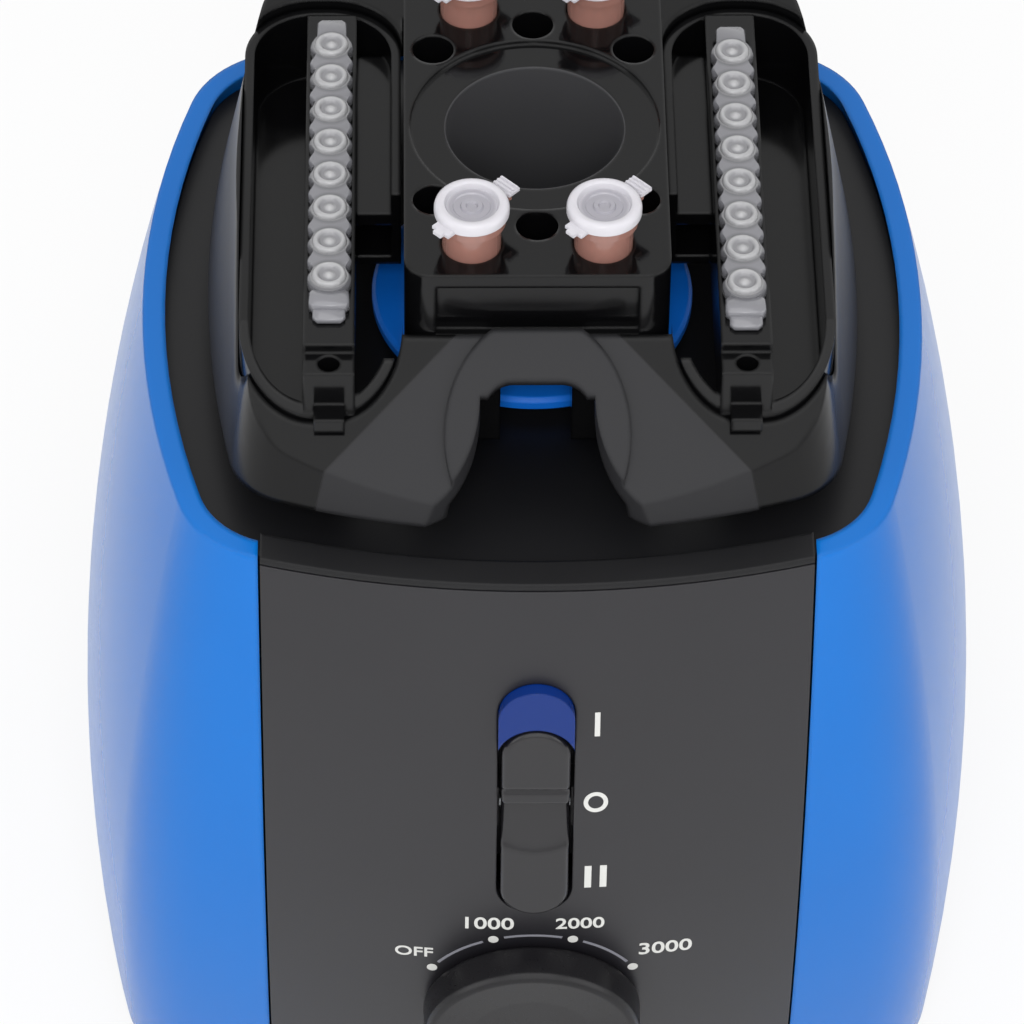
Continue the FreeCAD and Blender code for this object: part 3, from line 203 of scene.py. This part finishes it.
def stacked(form, layers):
    """Closed form through rings of points, one over the other."""
    count = len(layers[0])
    for low, high in zip(layers, layers[1:]):
        for i in range(count):
            j = (i + 1) % count
            form.faces.new((low[i], low[j], high[j], high[i]))
    form.faces.new(layers[0][::-1])
    form.faces.new(layers[-1])


def outline_film(form, ring):
    """Thin raised film with this outline of (x, drop) points, laid on the panel."""
    stacked(form, [[form.verts.new(on_panel(x, drop, lift)) for x, drop in ring] for lift in (-film, film)])


def band_film(form, inner, outer, closed=False):
    """Thin raised film between two lines of points that run side by side, as an open arc or a ring."""
    rows = [[form.verts.new(on_panel(x, drop, lift)) for x, drop in line]
            for line, lift in ((inner, film), (outer, film), (outer, -film), (inner, -film))]
    count = len(inner)
    for i in range(count if closed else count - 1):
        j = (i + 1) % count
        for first, second in zip(rows, rows[1:] + rows[:1]):
            form.faces.new((first[i], first[j], second[j], second[i]))
    if not closed:
        form.faces.new([row[0] for row in rows])
        form.faces.new([row[-1] for row in reversed(rows)])


def bar(x, drop, width, height):
    """Upright stroke as an outline."""
    return [(x - width / 2, drop - height / 2), (x + width / 2, drop - height / 2),
            (x + width / 2, drop + height / 2), (x - width / 2, drop + height / 2)]


def oval(x, drop, half_width, half_height, start=0, end=360, steps=40):
    """Points on an oval, from a start to an end in degrees clockwise from the top."""
    turns = [math.radians(start + (end - start) * i / steps) for i in range(steps + 1)]
    return [(x + half_width * math.sin(a), drop - half_height * math.cos(a)) for a in turns]


mark_x, one_drop, off_drop, two_drop = 11.3, 31.3, 50.5, 70.5
one_stroke, two_stroke, two_places = (1.0, 5.6), (1.3, 6.0), (10.15, 13.05)
ring_inner, ring_outer = (1.45, 1.65), (2.3, 2.55)
knob_drop, dial_radius, dial_step, dot_radius = 109.8, 22.4, 39.7, 1.0
arc_half_width, arc_gap = 0.28, 5.5
dial_turns = [dial_step * (i - 1.5) for i in range(4)]
marks = bmesh.new()
outline_film(marks, bar(mark_x, one_drop, *one_stroke))
band_film(marks, *[oval(mark_x, off_drop, *half)[:-1] for half in (ring_inner, ring_outer)], closed=True)
for x in two_places:
    outline_film(marks, bar(x, two_drop, *two_stroke))
for turn in dial_turns:
    dot = oval(0, knob_drop, dial_radius, dial_radius, turn, turn, 1)[0]
    outline_film(marks, oval(*dot, dot_radius, dot_radius, steps=24)[:-1])
piece("panel_marks", meshed("panel_marks", marks), "root", "black_satin", ink)

arcs = bmesh.new()
for low, high in zip(dial_turns, dial_turns[1:]):
    band_film(arcs, *[oval(0, knob_drop, radius, radius, low + arc_gap, high - arc_gap, 20)
                      for radius in (dial_radius - arc_half_width, dial_radius + arc_half_width)])
piece("dial_arcs", meshed("dial_arcs", arcs), "root", "black_satin", arc_ink)

letter_squeeze, letter_weight = 0.92, 0.015
for name, text, x, drop, width in (
        ("dial_off", "OFF", -22.8, 93.9, 7.3), ("dial_low", "1000", -8.8, 84.1, 9.3),
        ("dial_mid", "2000", 8.9, 84.1, 9.3), ("dial_high", "3000", 25.4, 93.2, 10.2)):
    curve = bpy.data.curves.new(name, "FONT")
    curve.body = text
    curve.align_x, curve.align_y = "CENTER", "CENTER"
    curve.resolution_u = 6
    curve.extrude = 0.01
    curve.offset = letter_weight
    flat = bpy.data.objects.new(name, curve)
    mesh = bpy.data.meshes.new_from_object(flat)
    bpy.data.objects.remove(flat)
    xs = [v.co.x for v in mesh.vertices]
    scale = width / (max(xs) - min(xs))
    for v in mesh.vertices:
        lift = film if v.co.z > 0 else -film
        v.co = on_panel(x + v.co.x * scale, drop - v.co.y * scale * letter_squeeze, lift)
    piece(name, mesh, "root", "black_satin", ink)

# Rocker: a moulded stadium with a flat upper and lower pad and a thumb hollow between them.
# It tips on a steel pin between the cheeks of its body, for I and II, and stands level at O.
switch_drop, rocker_half_width, rocker_half_length = 55.8, 6.4, 23.9
rocker_proud, rocker_back, narrowest = 0.7, 5.5, 0.12
hollow_top, hollow_foot, hollow_bow = 5.8, -7.2, 0.05
hollow_depth, hollow_lip, hollow_curve = 2.6, 0.10, 0.7
groove_rise, groove_width, groove_depth = 9.0, 0.45, 0.5
ease_width, ease_depth = 0.9, 0.7


def on_switch(x, out, rise):
    """Point on the switch: across the panel, out of it and up it, in mm from the rocker's middle."""
    tilt = math.asin((switch_drop - front_apex) / front_arc)
    y = head_y - reach(switch_drop) - out * math.cos(tilt) - rise * math.sin(tilt)
    z = rim_height - switch_drop - out * math.sin(tilt) + rise * math.cos(tilt)
    return Vector((x, y, z)) * MM


def rocker_height(x, rise, edge):
    """How far the rocker's face stands out of the panel."""
    out = rocker_proud
    foot = hollow_foot + hollow_bow * x * x
    if foot < rise < hollow_top:
        along = (hollow_top - rise) / (hollow_top - foot)
        out -= hollow_depth * min(1.0, along / hollow_lip) * (1 - along) ** hollow_curve
    out -= groove_depth * math.exp(-((rise - groove_rise) / groove_width) ** 2)
    return out - ease_depth * (1 - min(1.0, edge / ease_width)) ** 2


form = bmesh.new()
rows = [rocker_half_length * math.sin(math.pi / 2 * (i / 80 - 1)) for i in range(161)]
lanes = [math.sin(math.pi / 2 * (i / 14 - 1)) for i in range(29)]
straight = rocker_half_length - rocker_half_width
grid = []
for rise in rows:
    past = max(0.0, abs(rise) - straight)
    half = max(narrowest, math.sqrt(max(0.0, rocker_half_width ** 2 - past ** 2)))
    line = []
    for lane in lanes:
        x = half * lane
        edge = rocker_half_width - math.hypot(x, past)
        line.append(form.verts.new(on_switch(x, rocker_height(x, rise, edge), rise)))
    grid.append(line)
for low, high in zip(grid, grid[1:]):
    for i in range(len(lanes) - 1):
        form.faces.new((low[i], low[i + 1], high[i + 1], high[i]))
rim = ([line[0] for line in grid] + grid[-1][1:]
       + [line[-1] for line in reversed(grid[:-1])] + grid[0][-2:0:-1])
back_middle = on_switch(0, -rocker_back, 0)
inward = (back_middle - on_switch(0, 0, 0)).normalized()
back = [form.verts.new(v.co - inward * (v.co - back_middle).dot(inward)) for v in rim]
for i in range(len(rim)):
    j = (i + 1) % len(rim)
    form.faces.new((rim[i], rim[j], back[j], back[i]))
form.faces.new(back)
# A polished mould makes it smoother than the panel, so the hollow shades clearly
key = moulded("black_polished_key", "#171619", "#1D1C1F", 0.3, 0.004, (0.20, 0.27), 0.25)
piece("rocker_key", meshed("rocker_key", form, 50), "rocker", "black_satin", key, "rocker")

# Pilot lens and lamp: a moulded blue window, bitten by the top of the switch slot, with its lamp behind it.
# It is set in a hole of the panel and stands a little proud.
# Tinted acrylic is coloured right through, so its edge looks deeper than its face
lens = moulded("tinted_blue_lens", "#0A307C", "#0D3688", 0.8, 0.003, (0.10, 0.16), 0.6,
               Transmission_Weight=0.25, IOR=1.49, Specular_IOR_Level=0.2)
paint(lens, "pilot_lens", "pilot_lamp")

# Speed knob: a low cap with a soft rolled edge, moulded in black plastic.
# It is pushed on the shaft of its control, which a nut holds to the panel.
# A satin mould blurs the soft boxes into one broad sheen
grip = moulded("black_satin_knob", "#0D0C0F", "#121114", 0.4, 0.008, (0.24, 0.34), 0.8,
               Specular_IOR_Level=0.34)
paint(grip, "speed_knob")

# Head platform: a moulded blue disc over the deck's hole, on the bearing of the crank pin.
# It shows at both sides of the block and in the notch.
# Plastic in its own blue is satin and even; its blue is painted paler than the enamel, as painted light
# lifting the shade the platform sits in
platform = moulded("blue_moulded_platform", "#0F6EDC", "#1276E6", 0.6, 0.008, (0.3, 0.4), 0.6)
paint(platform, "head_platform")

# Tube holder: block, saddle and two strip trays, moulded in black styrene.
# The block sits on the platform's spigot, with the saddle flaring out round it.
# The trays are let into the saddle, one at each side.
well_edge, well_wall = 16.9, 16.7
flare, arm_start, arm_half_width, arm_blend = 1.25, 45.0, 20.0, 0.8
crest, crest_foot = 40.6, 41.2
flank_start, flank_full = 52.5, 57.0


def spot_on(tree):
    """Place on a piece, across and along it in metres, as two sockets."""
    parts = add(tree, "SeparateXYZ", Vector=add(tree, "TexCoord").outputs["Object"]).outputs
    return parts["X"], parts["Y"]


def distance(tree, across, along):
    """Distance from a point, from its parts across and along."""
    offset = add(tree, "CombineXYZ", X=across, Y=along).outputs[0]
    return add(tree, "VectorMath", {"operation": "LENGTH"}, _0=offset).outputs["Value"]


def zoned(tree, share, *names):
    """Lets a zone, from 0 to 1, drive these nodes of a material in place of its noise."""
    for name in names:
        tree.links.new(share, tree.nodes[name].inputs[0])


# High gloss with a trace of flow texture, so broad faces mirror the white room softly
gloss = moulded("black_gloss_styrene", "#070708", "#0C0C0D", 2.2, 0.004, (0.10, 0.18), 1.0,
                Specular_IOR_Level=0.26)
paint(gloss, "strip_tray_left", "strip_tray_right")

# The block's wide well is bored, not polished, so its wall is satin; its wall is also painted paler than
# the faces round it, as painted light filling the deep hole
bored_gloss_and_painted_light = moulded("black_gloss_styrene_painted_well_light", "#080809", "#3E3E40", 2.2, 0.004, (0.10, 0.45), 1.0,
                Specular_IOR_Level=0.26)
tree = bored_gloss_and_painted_light.node_tree
x, y = spot_on(tree)
ahead = add(tree, "Math", {"operation": "SUBTRACT"}, _0=y, _1=head_y * MM).outputs[0]
# Paler towards the well's wall: painted light inside the well
painted_well_light = add(tree, "MapRange", Value=distance(tree, x, ahead), From_Min=well_edge * MM,
             From_Max=well_wall * MM).outputs[0]
zoned(tree, painted_well_light, "Color Ramp", "Map Range")
paint(bored_gloss_and_painted_light, "tube_block")

# The saddle is glossy too, but its flanks and the horseshoe round its notch are satin from a textured mould
saddle = moulded("black_styrene_saddle", "#070708", "#262628", 2.2, 0.004, (0.12, 0.42), 1.4,
                 Specular_IOR_Level=0.22)
tree = saddle.node_tree
x, y = spot_on(tree)
arm = add(tree, "Math", {"operation": "MULTIPLY_ADD"}, _0=y, _1=-flare,
          _2=(arm_half_width + flare * (head_y - arm_start)) * MM).outputs[0]
aside = add(tree, "Math", {"operation": "ABSOLUTE"}, _0=x).outputs[0]
within = add(tree, "Math", {"operation": "SUBTRACT"}, _0=arm, _1=aside).outputs[0]
arms = add(tree, "MapRange", Value=within, From_Min=0.0, From_Max=arm_blend * MM).outputs[0]
slope = add(tree, "MapRange", Value=y, From_Min=(head_y - crest) * MM, From_Max=(head_y - crest_foot) * MM)
horseshoe = add(tree, "Math", {"operation": "MULTIPLY"}, _0=arms, _1=slope.outputs[0]).outputs[0]
flank = add(tree, "MapRange", Value=aside, From_Min=flank_start * MM, From_Max=flank_full * MM).outputs[0]
textured = add(tree, "Math", {"operation": "MAXIMUM"}, _0=horseshoe, _1=flank).outputs[0]
zoned(tree, textured, "Color Ramp", "Map Range")
paint(saddle, "holder_saddle")

# Tube strips: eight tapered tubes with domed caps on one scalloped bar, a grip in front and a tab behind.
# Each is moulded in one shot of polypropylene and lies on its rail, with the tubes hanging in the slot.
cloud_mm = 6.0
strip_x, strip_pitch, strip_count, seat = 38.0, 9.0, 8, 193.0
length = strip_pitch * (strip_count - 1)
tube_profile = [(0, -19.0), (0.9, -18.9), (1.3, -18.3), (3.0, 0.2), (2.4, 0.3), (0, 0.3)]
cap_profile = [(0, 3.15), (0.5, 3.12), (0.85, 2.75), (1.5, 2.65), (1.95, 2.95), (2.35, 3.3), (2.75, 3.34),
               (3.1, 3.0), (3.3, 2.4), (3.4, 1.2), (0, 1.2)]
# Tones from a cap's middle out: the pale dot and ring are painted highlights, the grey between caps painted
# shade
cap_tones_and_highlights = ((0, "#C8C8CA"), (0.16, "#C4C4C6"), (0.28, "#97979B"), (0.42, "#9A9A9E"),
             (0.54, "#C6C6C8"), (0.68, "#B8B8BA"), (0.82, "#7C7C80"), (1, "#94949A"))
# The bar's edge has two scallops to each tube
bar_half_width, scallop, bar_steps, end_steps = 3.72, 0.36, 224, 24
widest = bar_half_width + scallop
bar_layers = ((0.0, 0.25), (0.3, 0.0), (2.0, 0.0), (2.5, 0.45))
# Tab behind, grip in front and the step on it: two ends, half width and top
tabs = ((length + 3.0, length + 8.9, 2.8, 1.2), (-10.2, -3.0, 3.0, 1.2), (-7.6, -3.0, 3.7, 2.2))
tab_corner, tab_foot_ease, tab_top_ease = 0.9, 0.2, 0.3


def lathe(form, profile, x, y, z, steps=48):
    """Turned form from (radius, height) points about an upright axis at x, y, standing at z, in mm."""
    rings = []
    for radius, height in profile:
        turns = [2 * math.pi * i / steps for i in range(steps if radius else 1)]
        points = [(x + radius * math.cos(a), y + radius * math.sin(a), z + height) for a in turns]
        rings.append([form.verts.new(Vector(point) * MM) for point in points])
    for low, high in zip(rings, rings[1:]):
        for i in range(steps):
            j = (i + 1) % steps
            loop = [low[i % len(low)], low[j % len(low)], high[j % len(high)], high[i % len(high)]]
            form.faces.new(list(dict.fromkeys(loop)))


def row_of(name, mesh, count, pitch, material):
    """Repeats a mesh along y with a node group and returns the plain mesh."""
    group = bpy.data.node_groups.new(name, "GeometryNodeTree")
    sockets = [group.interface.new_socket("Geometry", in_out="INPUT", socket_type="NodeSocketGeometry"),
               group.interface.new_socket("Count", in_out="INPUT", socket_type="NodeSocketInt"),
               group.interface.new_socket("Pitch", in_out="INPUT", socket_type="NodeSocketFloat")]
    group.interface.new_socket("Geometry", in_out="OUTPUT", socket_type="NodeSocketGeometry")
    start, line, offset, place, realize, cover, end = [group.nodes.new(kind) for kind in (
        "NodeGroupInput", "GeometryNodeMeshLine", "ShaderNodeCombineXYZ", "GeometryNodeInstanceOnPoints",
        "GeometryNodeRealizeInstances", "GeometryNodeSetMaterial", "NodeGroupOutput")]
    cover.inputs["Material"].default_value = material
    for source, target in ((start.outputs["Count"], line.inputs["Count"]),
                           (start.outputs["Pitch"], offset.inputs["Y"]),
                           (offset.outputs[0], line.inputs["Offset"]),
                           (line.outputs[0], place.inputs["Points"]),
                           (start.outputs["Geometry"], place.inputs["Instance"]),
                           (place.outputs[0], realize.inputs[0]),
                           (realize.outputs[0], cover.inputs["Geometry"]),
                           (cover.outputs[0], end.inputs[0])):
        group.links.new(source, target)
    unit = bpy.data.objects.new(name, mesh)
    bpy.context.scene.collection.objects.link(unit)
    modifier = unit.modifiers.new(name, "NODES")
    modifier.node_group = group
    modifier[sockets[1].identifier] = count
    modifier[sockets[2].identifier] = pitch * MM
    bpy.context.view_layer.update()
    result = bpy.data.meshes.new_from_object(unit.evaluated_get(bpy.context.evaluated_depsgraph_get()))
    unit.modifiers.remove(modifier)
    bpy.data.objects.remove(unit)
    return result


def frosted(name, tones, rough, clear, grain_mm, **shader):
    """Clear plastic with a frosted skin: light passes, shapes behind it blur."""
    material = bpy.data.materials.new(name)
    material.use_nodes = True
    tree = material.node_tree
    tree.nodes.clear()
    place = add(tree, "TexCoord").outputs["Object"]
    grain = add(tree, "TexNoise", Vector=place, Scale=1000.0 / grain_mm, Detail=3.0).outputs[0]
    cloud = add(tree, "TexNoise", Vector=place, Scale=1000.0 / cloud_mm, Detail=2.0).outputs[0]
    colour = add(tree, "ValToRGB", {"tones": tones}, Fac=cloud).outputs[0]
    haze = add(tree, "MapRange", Value=grain, To_Min=rough[0], To_Max=rough[1]).outputs[0]
    bump = add(tree, "Bump", Strength=0.4, Distance=0.004 * MM, Height=grain).outputs[0]
    bsdf = add(tree, "BsdfPrincipled", Base_Color=colour, Roughness=haze, Normal=bump, IOR=1.49,
               Transmission_Weight=clear, **shader)
    add(tree, "OutputMaterial", Surface=bsdf.outputs[0])
    return material


for hand, side, start in (("left", -1, 31.5), ("right", 1, 33.5)):
    first_x, first_y = side * strip_x, head_y - start
    # Each cap's thick ring and dome scatter white, and their paler ring and dot are also painted
    # highlights; the grey web between caps is painted shade, where the dark rail shows through
    strip_plastic = frosted("frosted_polypropylene_" + hand, cap_tones_and_highlights, (0.10, 0.20), 0.40, 1.5,
                            Coat_Weight=0.7, Coat_Roughness=0.04)
    tree = strip_plastic.node_tree
    x, y = spot_on(tree)
    across = add(tree, "Math", {"operation": "SUBTRACT"}, _0=x, _1=first_x * MM).outputs[0]
    along = add(tree, "Math", {"operation": "SUBTRACT"}, _0=y, _1=first_y * MM).outputs[0]
    nearest = add(tree, "Math", {"operation": "WRAP"}, _0=along, _1=strip_pitch / 2 * MM,
                  _2=-strip_pitch / 2 * MM).outputs[0]
    reached = add(tree, "MapRange", Value=distance(tree, across, nearest), From_Max=strip_pitch / 2 * MM)
    centred = add(tree, "Math", {"operation": "SUBTRACT"}, _0=along, _1=length / 2 * MM).outputs[0]
    centred = add(tree, "Math", {"operation": "ABSOLUTE"}, _0=centred).outputs[0]
    on_tab = add(tree, "Math", {"operation": "GREATER_THAN"}, _0=centred,
                 _1=strip_count / 2 * strip_pitch * MM).outputs[0]
    cap_highlight_zone = add(tree, "Math", {"operation": "MAXIMUM"}, _0=reached.outputs[0], _1=on_tab).outputs[0]
    zoned(tree, cap_highlight_zone, "Color Ramp")

    name = "tube_strip_" + hand
    unit = bmesh.new()
    for profile in (tube_profile, cap_profile):
        lathe(unit, profile, first_x, first_y, seat)
    caps = row_of(name + "_caps", meshed(name + "_unit", unit, 60), strip_count, strip_pitch, strip_plastic)
    form = bmesh.new()
    form.from_mesh(caps)
    steps = [length * i / bar_steps for i in range(bar_steps + 1)]
    edge = [(bar_half_width + scallop * math.cos(4 * math.pi * a / strip_pitch), a) for a in steps]
    turns = [math.pi * i / end_steps for i in range(1, end_steps)]
    round_end = [(widest * math.cos(a), length + widest * math.sin(a)) for a in turns]
    ring = (edge + round_end + [(-w, a) for w, a in reversed(edge)]
            + [(w, length - a) for w, a in reversed(round_end)])
    layers = []
    for height, inset in bar_layers:
        scale = (widest - inset) / widest
        layers.append([form.verts.new(Vector((first_x + w * scale, first_y + a, seat + height)) * MM)
                       for w, a in ring])
    stacked(form, layers)
    for near, far, half, top in tabs:
        slim, near_corner, far_corner = half - tab_corner, near + tab_corner, far - tab_corner
        layers = []
        for height, inset in ((0.0, tab_foot_ease), (tab_foot_ease, 0.0),
                              (top - tab_top_ease, 0.0), (top, tab_top_ease)):
            wide, low, high = half - inset, near + inset, far - inset
            ring = ((-wide, near_corner), (-slim, low), (slim, low), (wide, near_corner),
                    (wide, far_corner), (slim, high), (-slim, high), (-wide, far_corner))
            layers.append([form.verts.new(Vector((first_x + w, first_y + a, seat + height)) * MM)
                           for w, a in ring])
        stacked(form, layers)
    piece(name + "_moulded", meshed(name + "_moulded", form, 50), "strip_" + hand, "clear_plastic",
          strip_plastic, name)

# Microtubes: clear tapered tubes with a pink-brown sample, hanging by their lips in the block.
# Each is moulded with its lid, a frosted cap with a raised rim, on a thin living hinge at the back right.
tube_x, tube_y, lid_low = 12.0, 32.0, 211.8
lid_turn, lid_ease = 45.0, 0.12
web_radius, rim_radius = 4.0, 5.2
lid_profile = [(0, 1.30), (0.9, 1.32), (1.15, 1.75), (1.9, 1.80), (2.15, 1.35), (3.3, 1.32), (3.55, 1.55),
               (4.1, 1.55), (4.6, 1.5), (5.0, 2.35), (5.5, 2.58), (6.2, 2.55), (6.65, 2.2), (6.88, 1.5),
               (6.88, 0.35), (6.55, 0.02), (4.24, 0.02), (4.2, -1.4), (3.75, -1.58), (3.6, -1.3),
               (3.55, 0.55), (0, 0.55)]
# Hinge strap with three ridges, then the thumb tab on the other side: two ends, half width, foot and top
lid_blocks = ((6.3, 7.6, 1.5, 0.02, 0.85), (7.4, 10.2, 2.3, 0.02, 0.85), (7.7, 8.2, 2.2, 0.8, 1.2),
              (8.6, 9.1, 2.2, 0.8, 1.2), (9.5, 10.0, 2.2, 0.8, 1.2), (-9.1, -6.3, 1.0, 0.05, 0.85),
              (-8.2, -6.3, 2.1, 0.05, 0.80))
# Thin clear walls take on the colour of the sample behind them
tube_plastic = frosted("clear_polypropylene", ((0, "#C08E81"), (1, "#D09E91")), (0.08, 0.16), 0.55, 1.2)
# The sample is cloudy, so little light passes
sample = frosted("pink_brown_sample", ((0, "#A85C4D"), (1, "#B86C5D")), (0.05, 0.10), 0.10, 3.0)
# A lid's thick rim scatters more light than the thin web inside it, so it looks whiter
lid_plastic = frosted("frosted_white_lid", ((0, "#B2B0B8"), (1, "#E4E2E8")), (0.16, 0.28), 0.30, 1.5)
tree = lid_plastic.node_tree
x, y = spot_on(tree)
across = add(tree, "Math", {"operation": "ABSOLUTE"}, _0=x).outputs[0]
across = add(tree, "Math", {"operation": "SUBTRACT"}, _0=across, _1=tube_x * MM).outputs[0]
ahead = add(tree, "Math", {"operation": "SUBTRACT"}, _0=y, _1=head_y * MM).outputs[0]
ahead = add(tree, "Math", {"operation": "ABSOLUTE"}, _0=ahead).outputs[0]
ahead = add(tree, "Math", {"operation": "SUBTRACT"}, _0=ahead, _1=tube_y * MM).outputs[0]
thick = add(tree, "MapRange", Value=distance(tree, across, ahead), From_Min=web_radius * MM,
            From_Max=rim_radius * MM).outputs[0]
zoned(tree, thick, "Color Ramp")

for hand, side in (("left", -1), ("right", 1)):
    for end, front in (("front", -1), ("rear", 1)):
        tag = end + "_" + hand
        paint(tube_plastic, "microtube_" + tag)
        paint(sample, "tube_liquid_" + tag)
        form = bmesh.new()
        lathe(form, lid_profile, 0, 0, 0)
        for low, high, half, foot, top in lid_blocks:
            made = bmesh.ops.create_cube(form, size=1.0)["verts"]
            for v in made:
                v.co = Vector((low + (high - low) * (v.co.x + 0.5), 2 * half * v.co.y,
                               foot + (top - foot) * (v.co.z + 0.5))) * MM
            edges = list({edge for v in made for edge in v.link_edges})
            bmesh.ops.bevel(form, geom=edges, offset=lid_ease * MM, segments=2, affect="EDGES")
        form.transform(Matrix.Translation(Vector((side * tube_x, head_y + front * tube_y, lid_low)) * MM)
                       @ Matrix.Rotation(math.radians(lid_turn), 4, "Z"))
        name = "lid_" + tag
        piece(name, meshed(name, form, 40), name, "clear_plastic", lid_plastic, "tube_" + name)

# Studio: a white room with a pale paper floor and soft boxes above, at both sides and in front.
# The box beside the lens only fills the shade, so it isn't mirrored in the slope of the saddle.
# The camera is a long lens from the front and above, at the photograph's viewing angle.
lit_point = Vector((0, 0, 0.12))
for name, place, width, height, power, mirrored in (
        ("top_box", (0.0, -0.15, 1.3), 1.1, 0.9, 3.0, True),
        ("left_box", (-1.2, -0.5, 0.8), 0.9, 1.1, 4.0, True),
        ("right_box", (1.2, -0.5, 0.8), 0.9, 1.1, 4.0, True),
        ("front_box", (0.0, -1.0, 1.2), 1.6, 1.6, 6.0, True),
        ("lens_box", (-0.03, -0.95, 1.05), 0.4, 0.4, 8.0, False)):
    light = bpy.data.lights.new(name, "AREA")
    light.shape = "RECTANGLE"
    light.size, light.size_y, light.energy = width, height, power
    box = bpy.data.objects.new(name, light)
    facing = (Vector(place) - lit_point).to_track_quat("Z", "Y").to_matrix().to_4x4()
    box.matrix_world = Matrix.Translation(place) @ facing
    box.visible_glossy = mirrored
    bpy.context.scene.collection.objects.link(box)

room_light, white = 0.42, (1.0, 1.0, 1.0, 1.0)
world = bpy.data.worlds.new("white_room")
bpy.context.scene.world = world
world.use_nodes = True
tree = world.node_tree
tree.nodes.clear()
path = add(tree, "LightPath").outputs
seen = add(tree, "Math", {"operation": "MAXIMUM"}, _0=path["Is Camera Ray"], _1=path["Is Transmission Ray"])
seen = add(tree, "Math", {"operation": "MAXIMUM"}, _0=seen.outputs[0], _1=path["Is Glossy Ray"])
room = add(tree, "MapRange", Value=seen.outputs[0], To_Min=room_light, To_Max=1.0).outputs[0]
sky = add(tree, "Background", Color=white, Strength=room)
add(tree, "OutputWorld", Surface=sky.outputs[0])

floor_half, paper_share = 4.0, 0.85
floor_form = bmesh.new()
bmesh.ops.create_grid(floor_form, x_segments=2, y_segments=2, size=floor_half)
floor = bpy.data.objects.new("floor", meshed("floor", floor_form))
bpy.context.scene.collection.objects.link(floor)
# Matt paper shows mostly its own white to the camera, and keeps the object's soft shadow
paper = bpy.data.materials.new("white_paper")
paper.use_nodes = True
tree = paper.node_tree
tree.nodes.clear()
path = add(tree, "LightPath").outputs
lit = add(tree, "BsdfDiffuse", Color=linear("#F6F6F6"))
pale = add(tree, "Emission", Color=white, Strength=1.0)
share = add(tree, "Math", {"operation": "MULTIPLY"}, _0=path["Is Camera Ray"], _1=paper_share).outputs[0]
blend = add(tree, "MixShader", _0=share, _1=lit.outputs[0], _2=pale.outputs[0])
add(tree, "OutputMaterial", Surface=blend.outputs[0])
floor.data.materials.append(paper)

elevation, azimuth, roll = (math.radians(a) for a in (46.0, -1.3, 0.8))
camera_distance, focal, frame_px = 1.2, 6300.0, 1024
seen_at = (532.0, 295.0)
target = Vector((0, head_y, rim_height)) * MM
away = Vector((math.sin(azimuth) * math.cos(elevation), -math.cos(azimuth) * math.cos(elevation),
               math.sin(elevation)))
level = Vector((math.cos(azimuth), math.sin(azimuth), 0))
right = level * math.cos(roll) + away.cross(level) * math.sin(roll)
up = away.cross(right)
pixel = camera_distance / focal
camera = bpy.data.cameras.new("camera")
camera.lens = camera.sensor_width * focal / frame_px
camera.clip_end = 20
view = bpy.data.objects.new("camera", camera)
view.matrix_world = Matrix((right, up, away)).transposed().to_4x4()
view.location = (target + away * camera_distance - right * (seen_at[0] - frame_px / 2) * pixel
                 + up * (seen_at[1] - frame_px / 2) * pixel)
bpy.context.scene.collection.objects.link(view)
bpy.context.scene.camera = view
bpy.context.scene.view_settings.view_transform = "Standard"
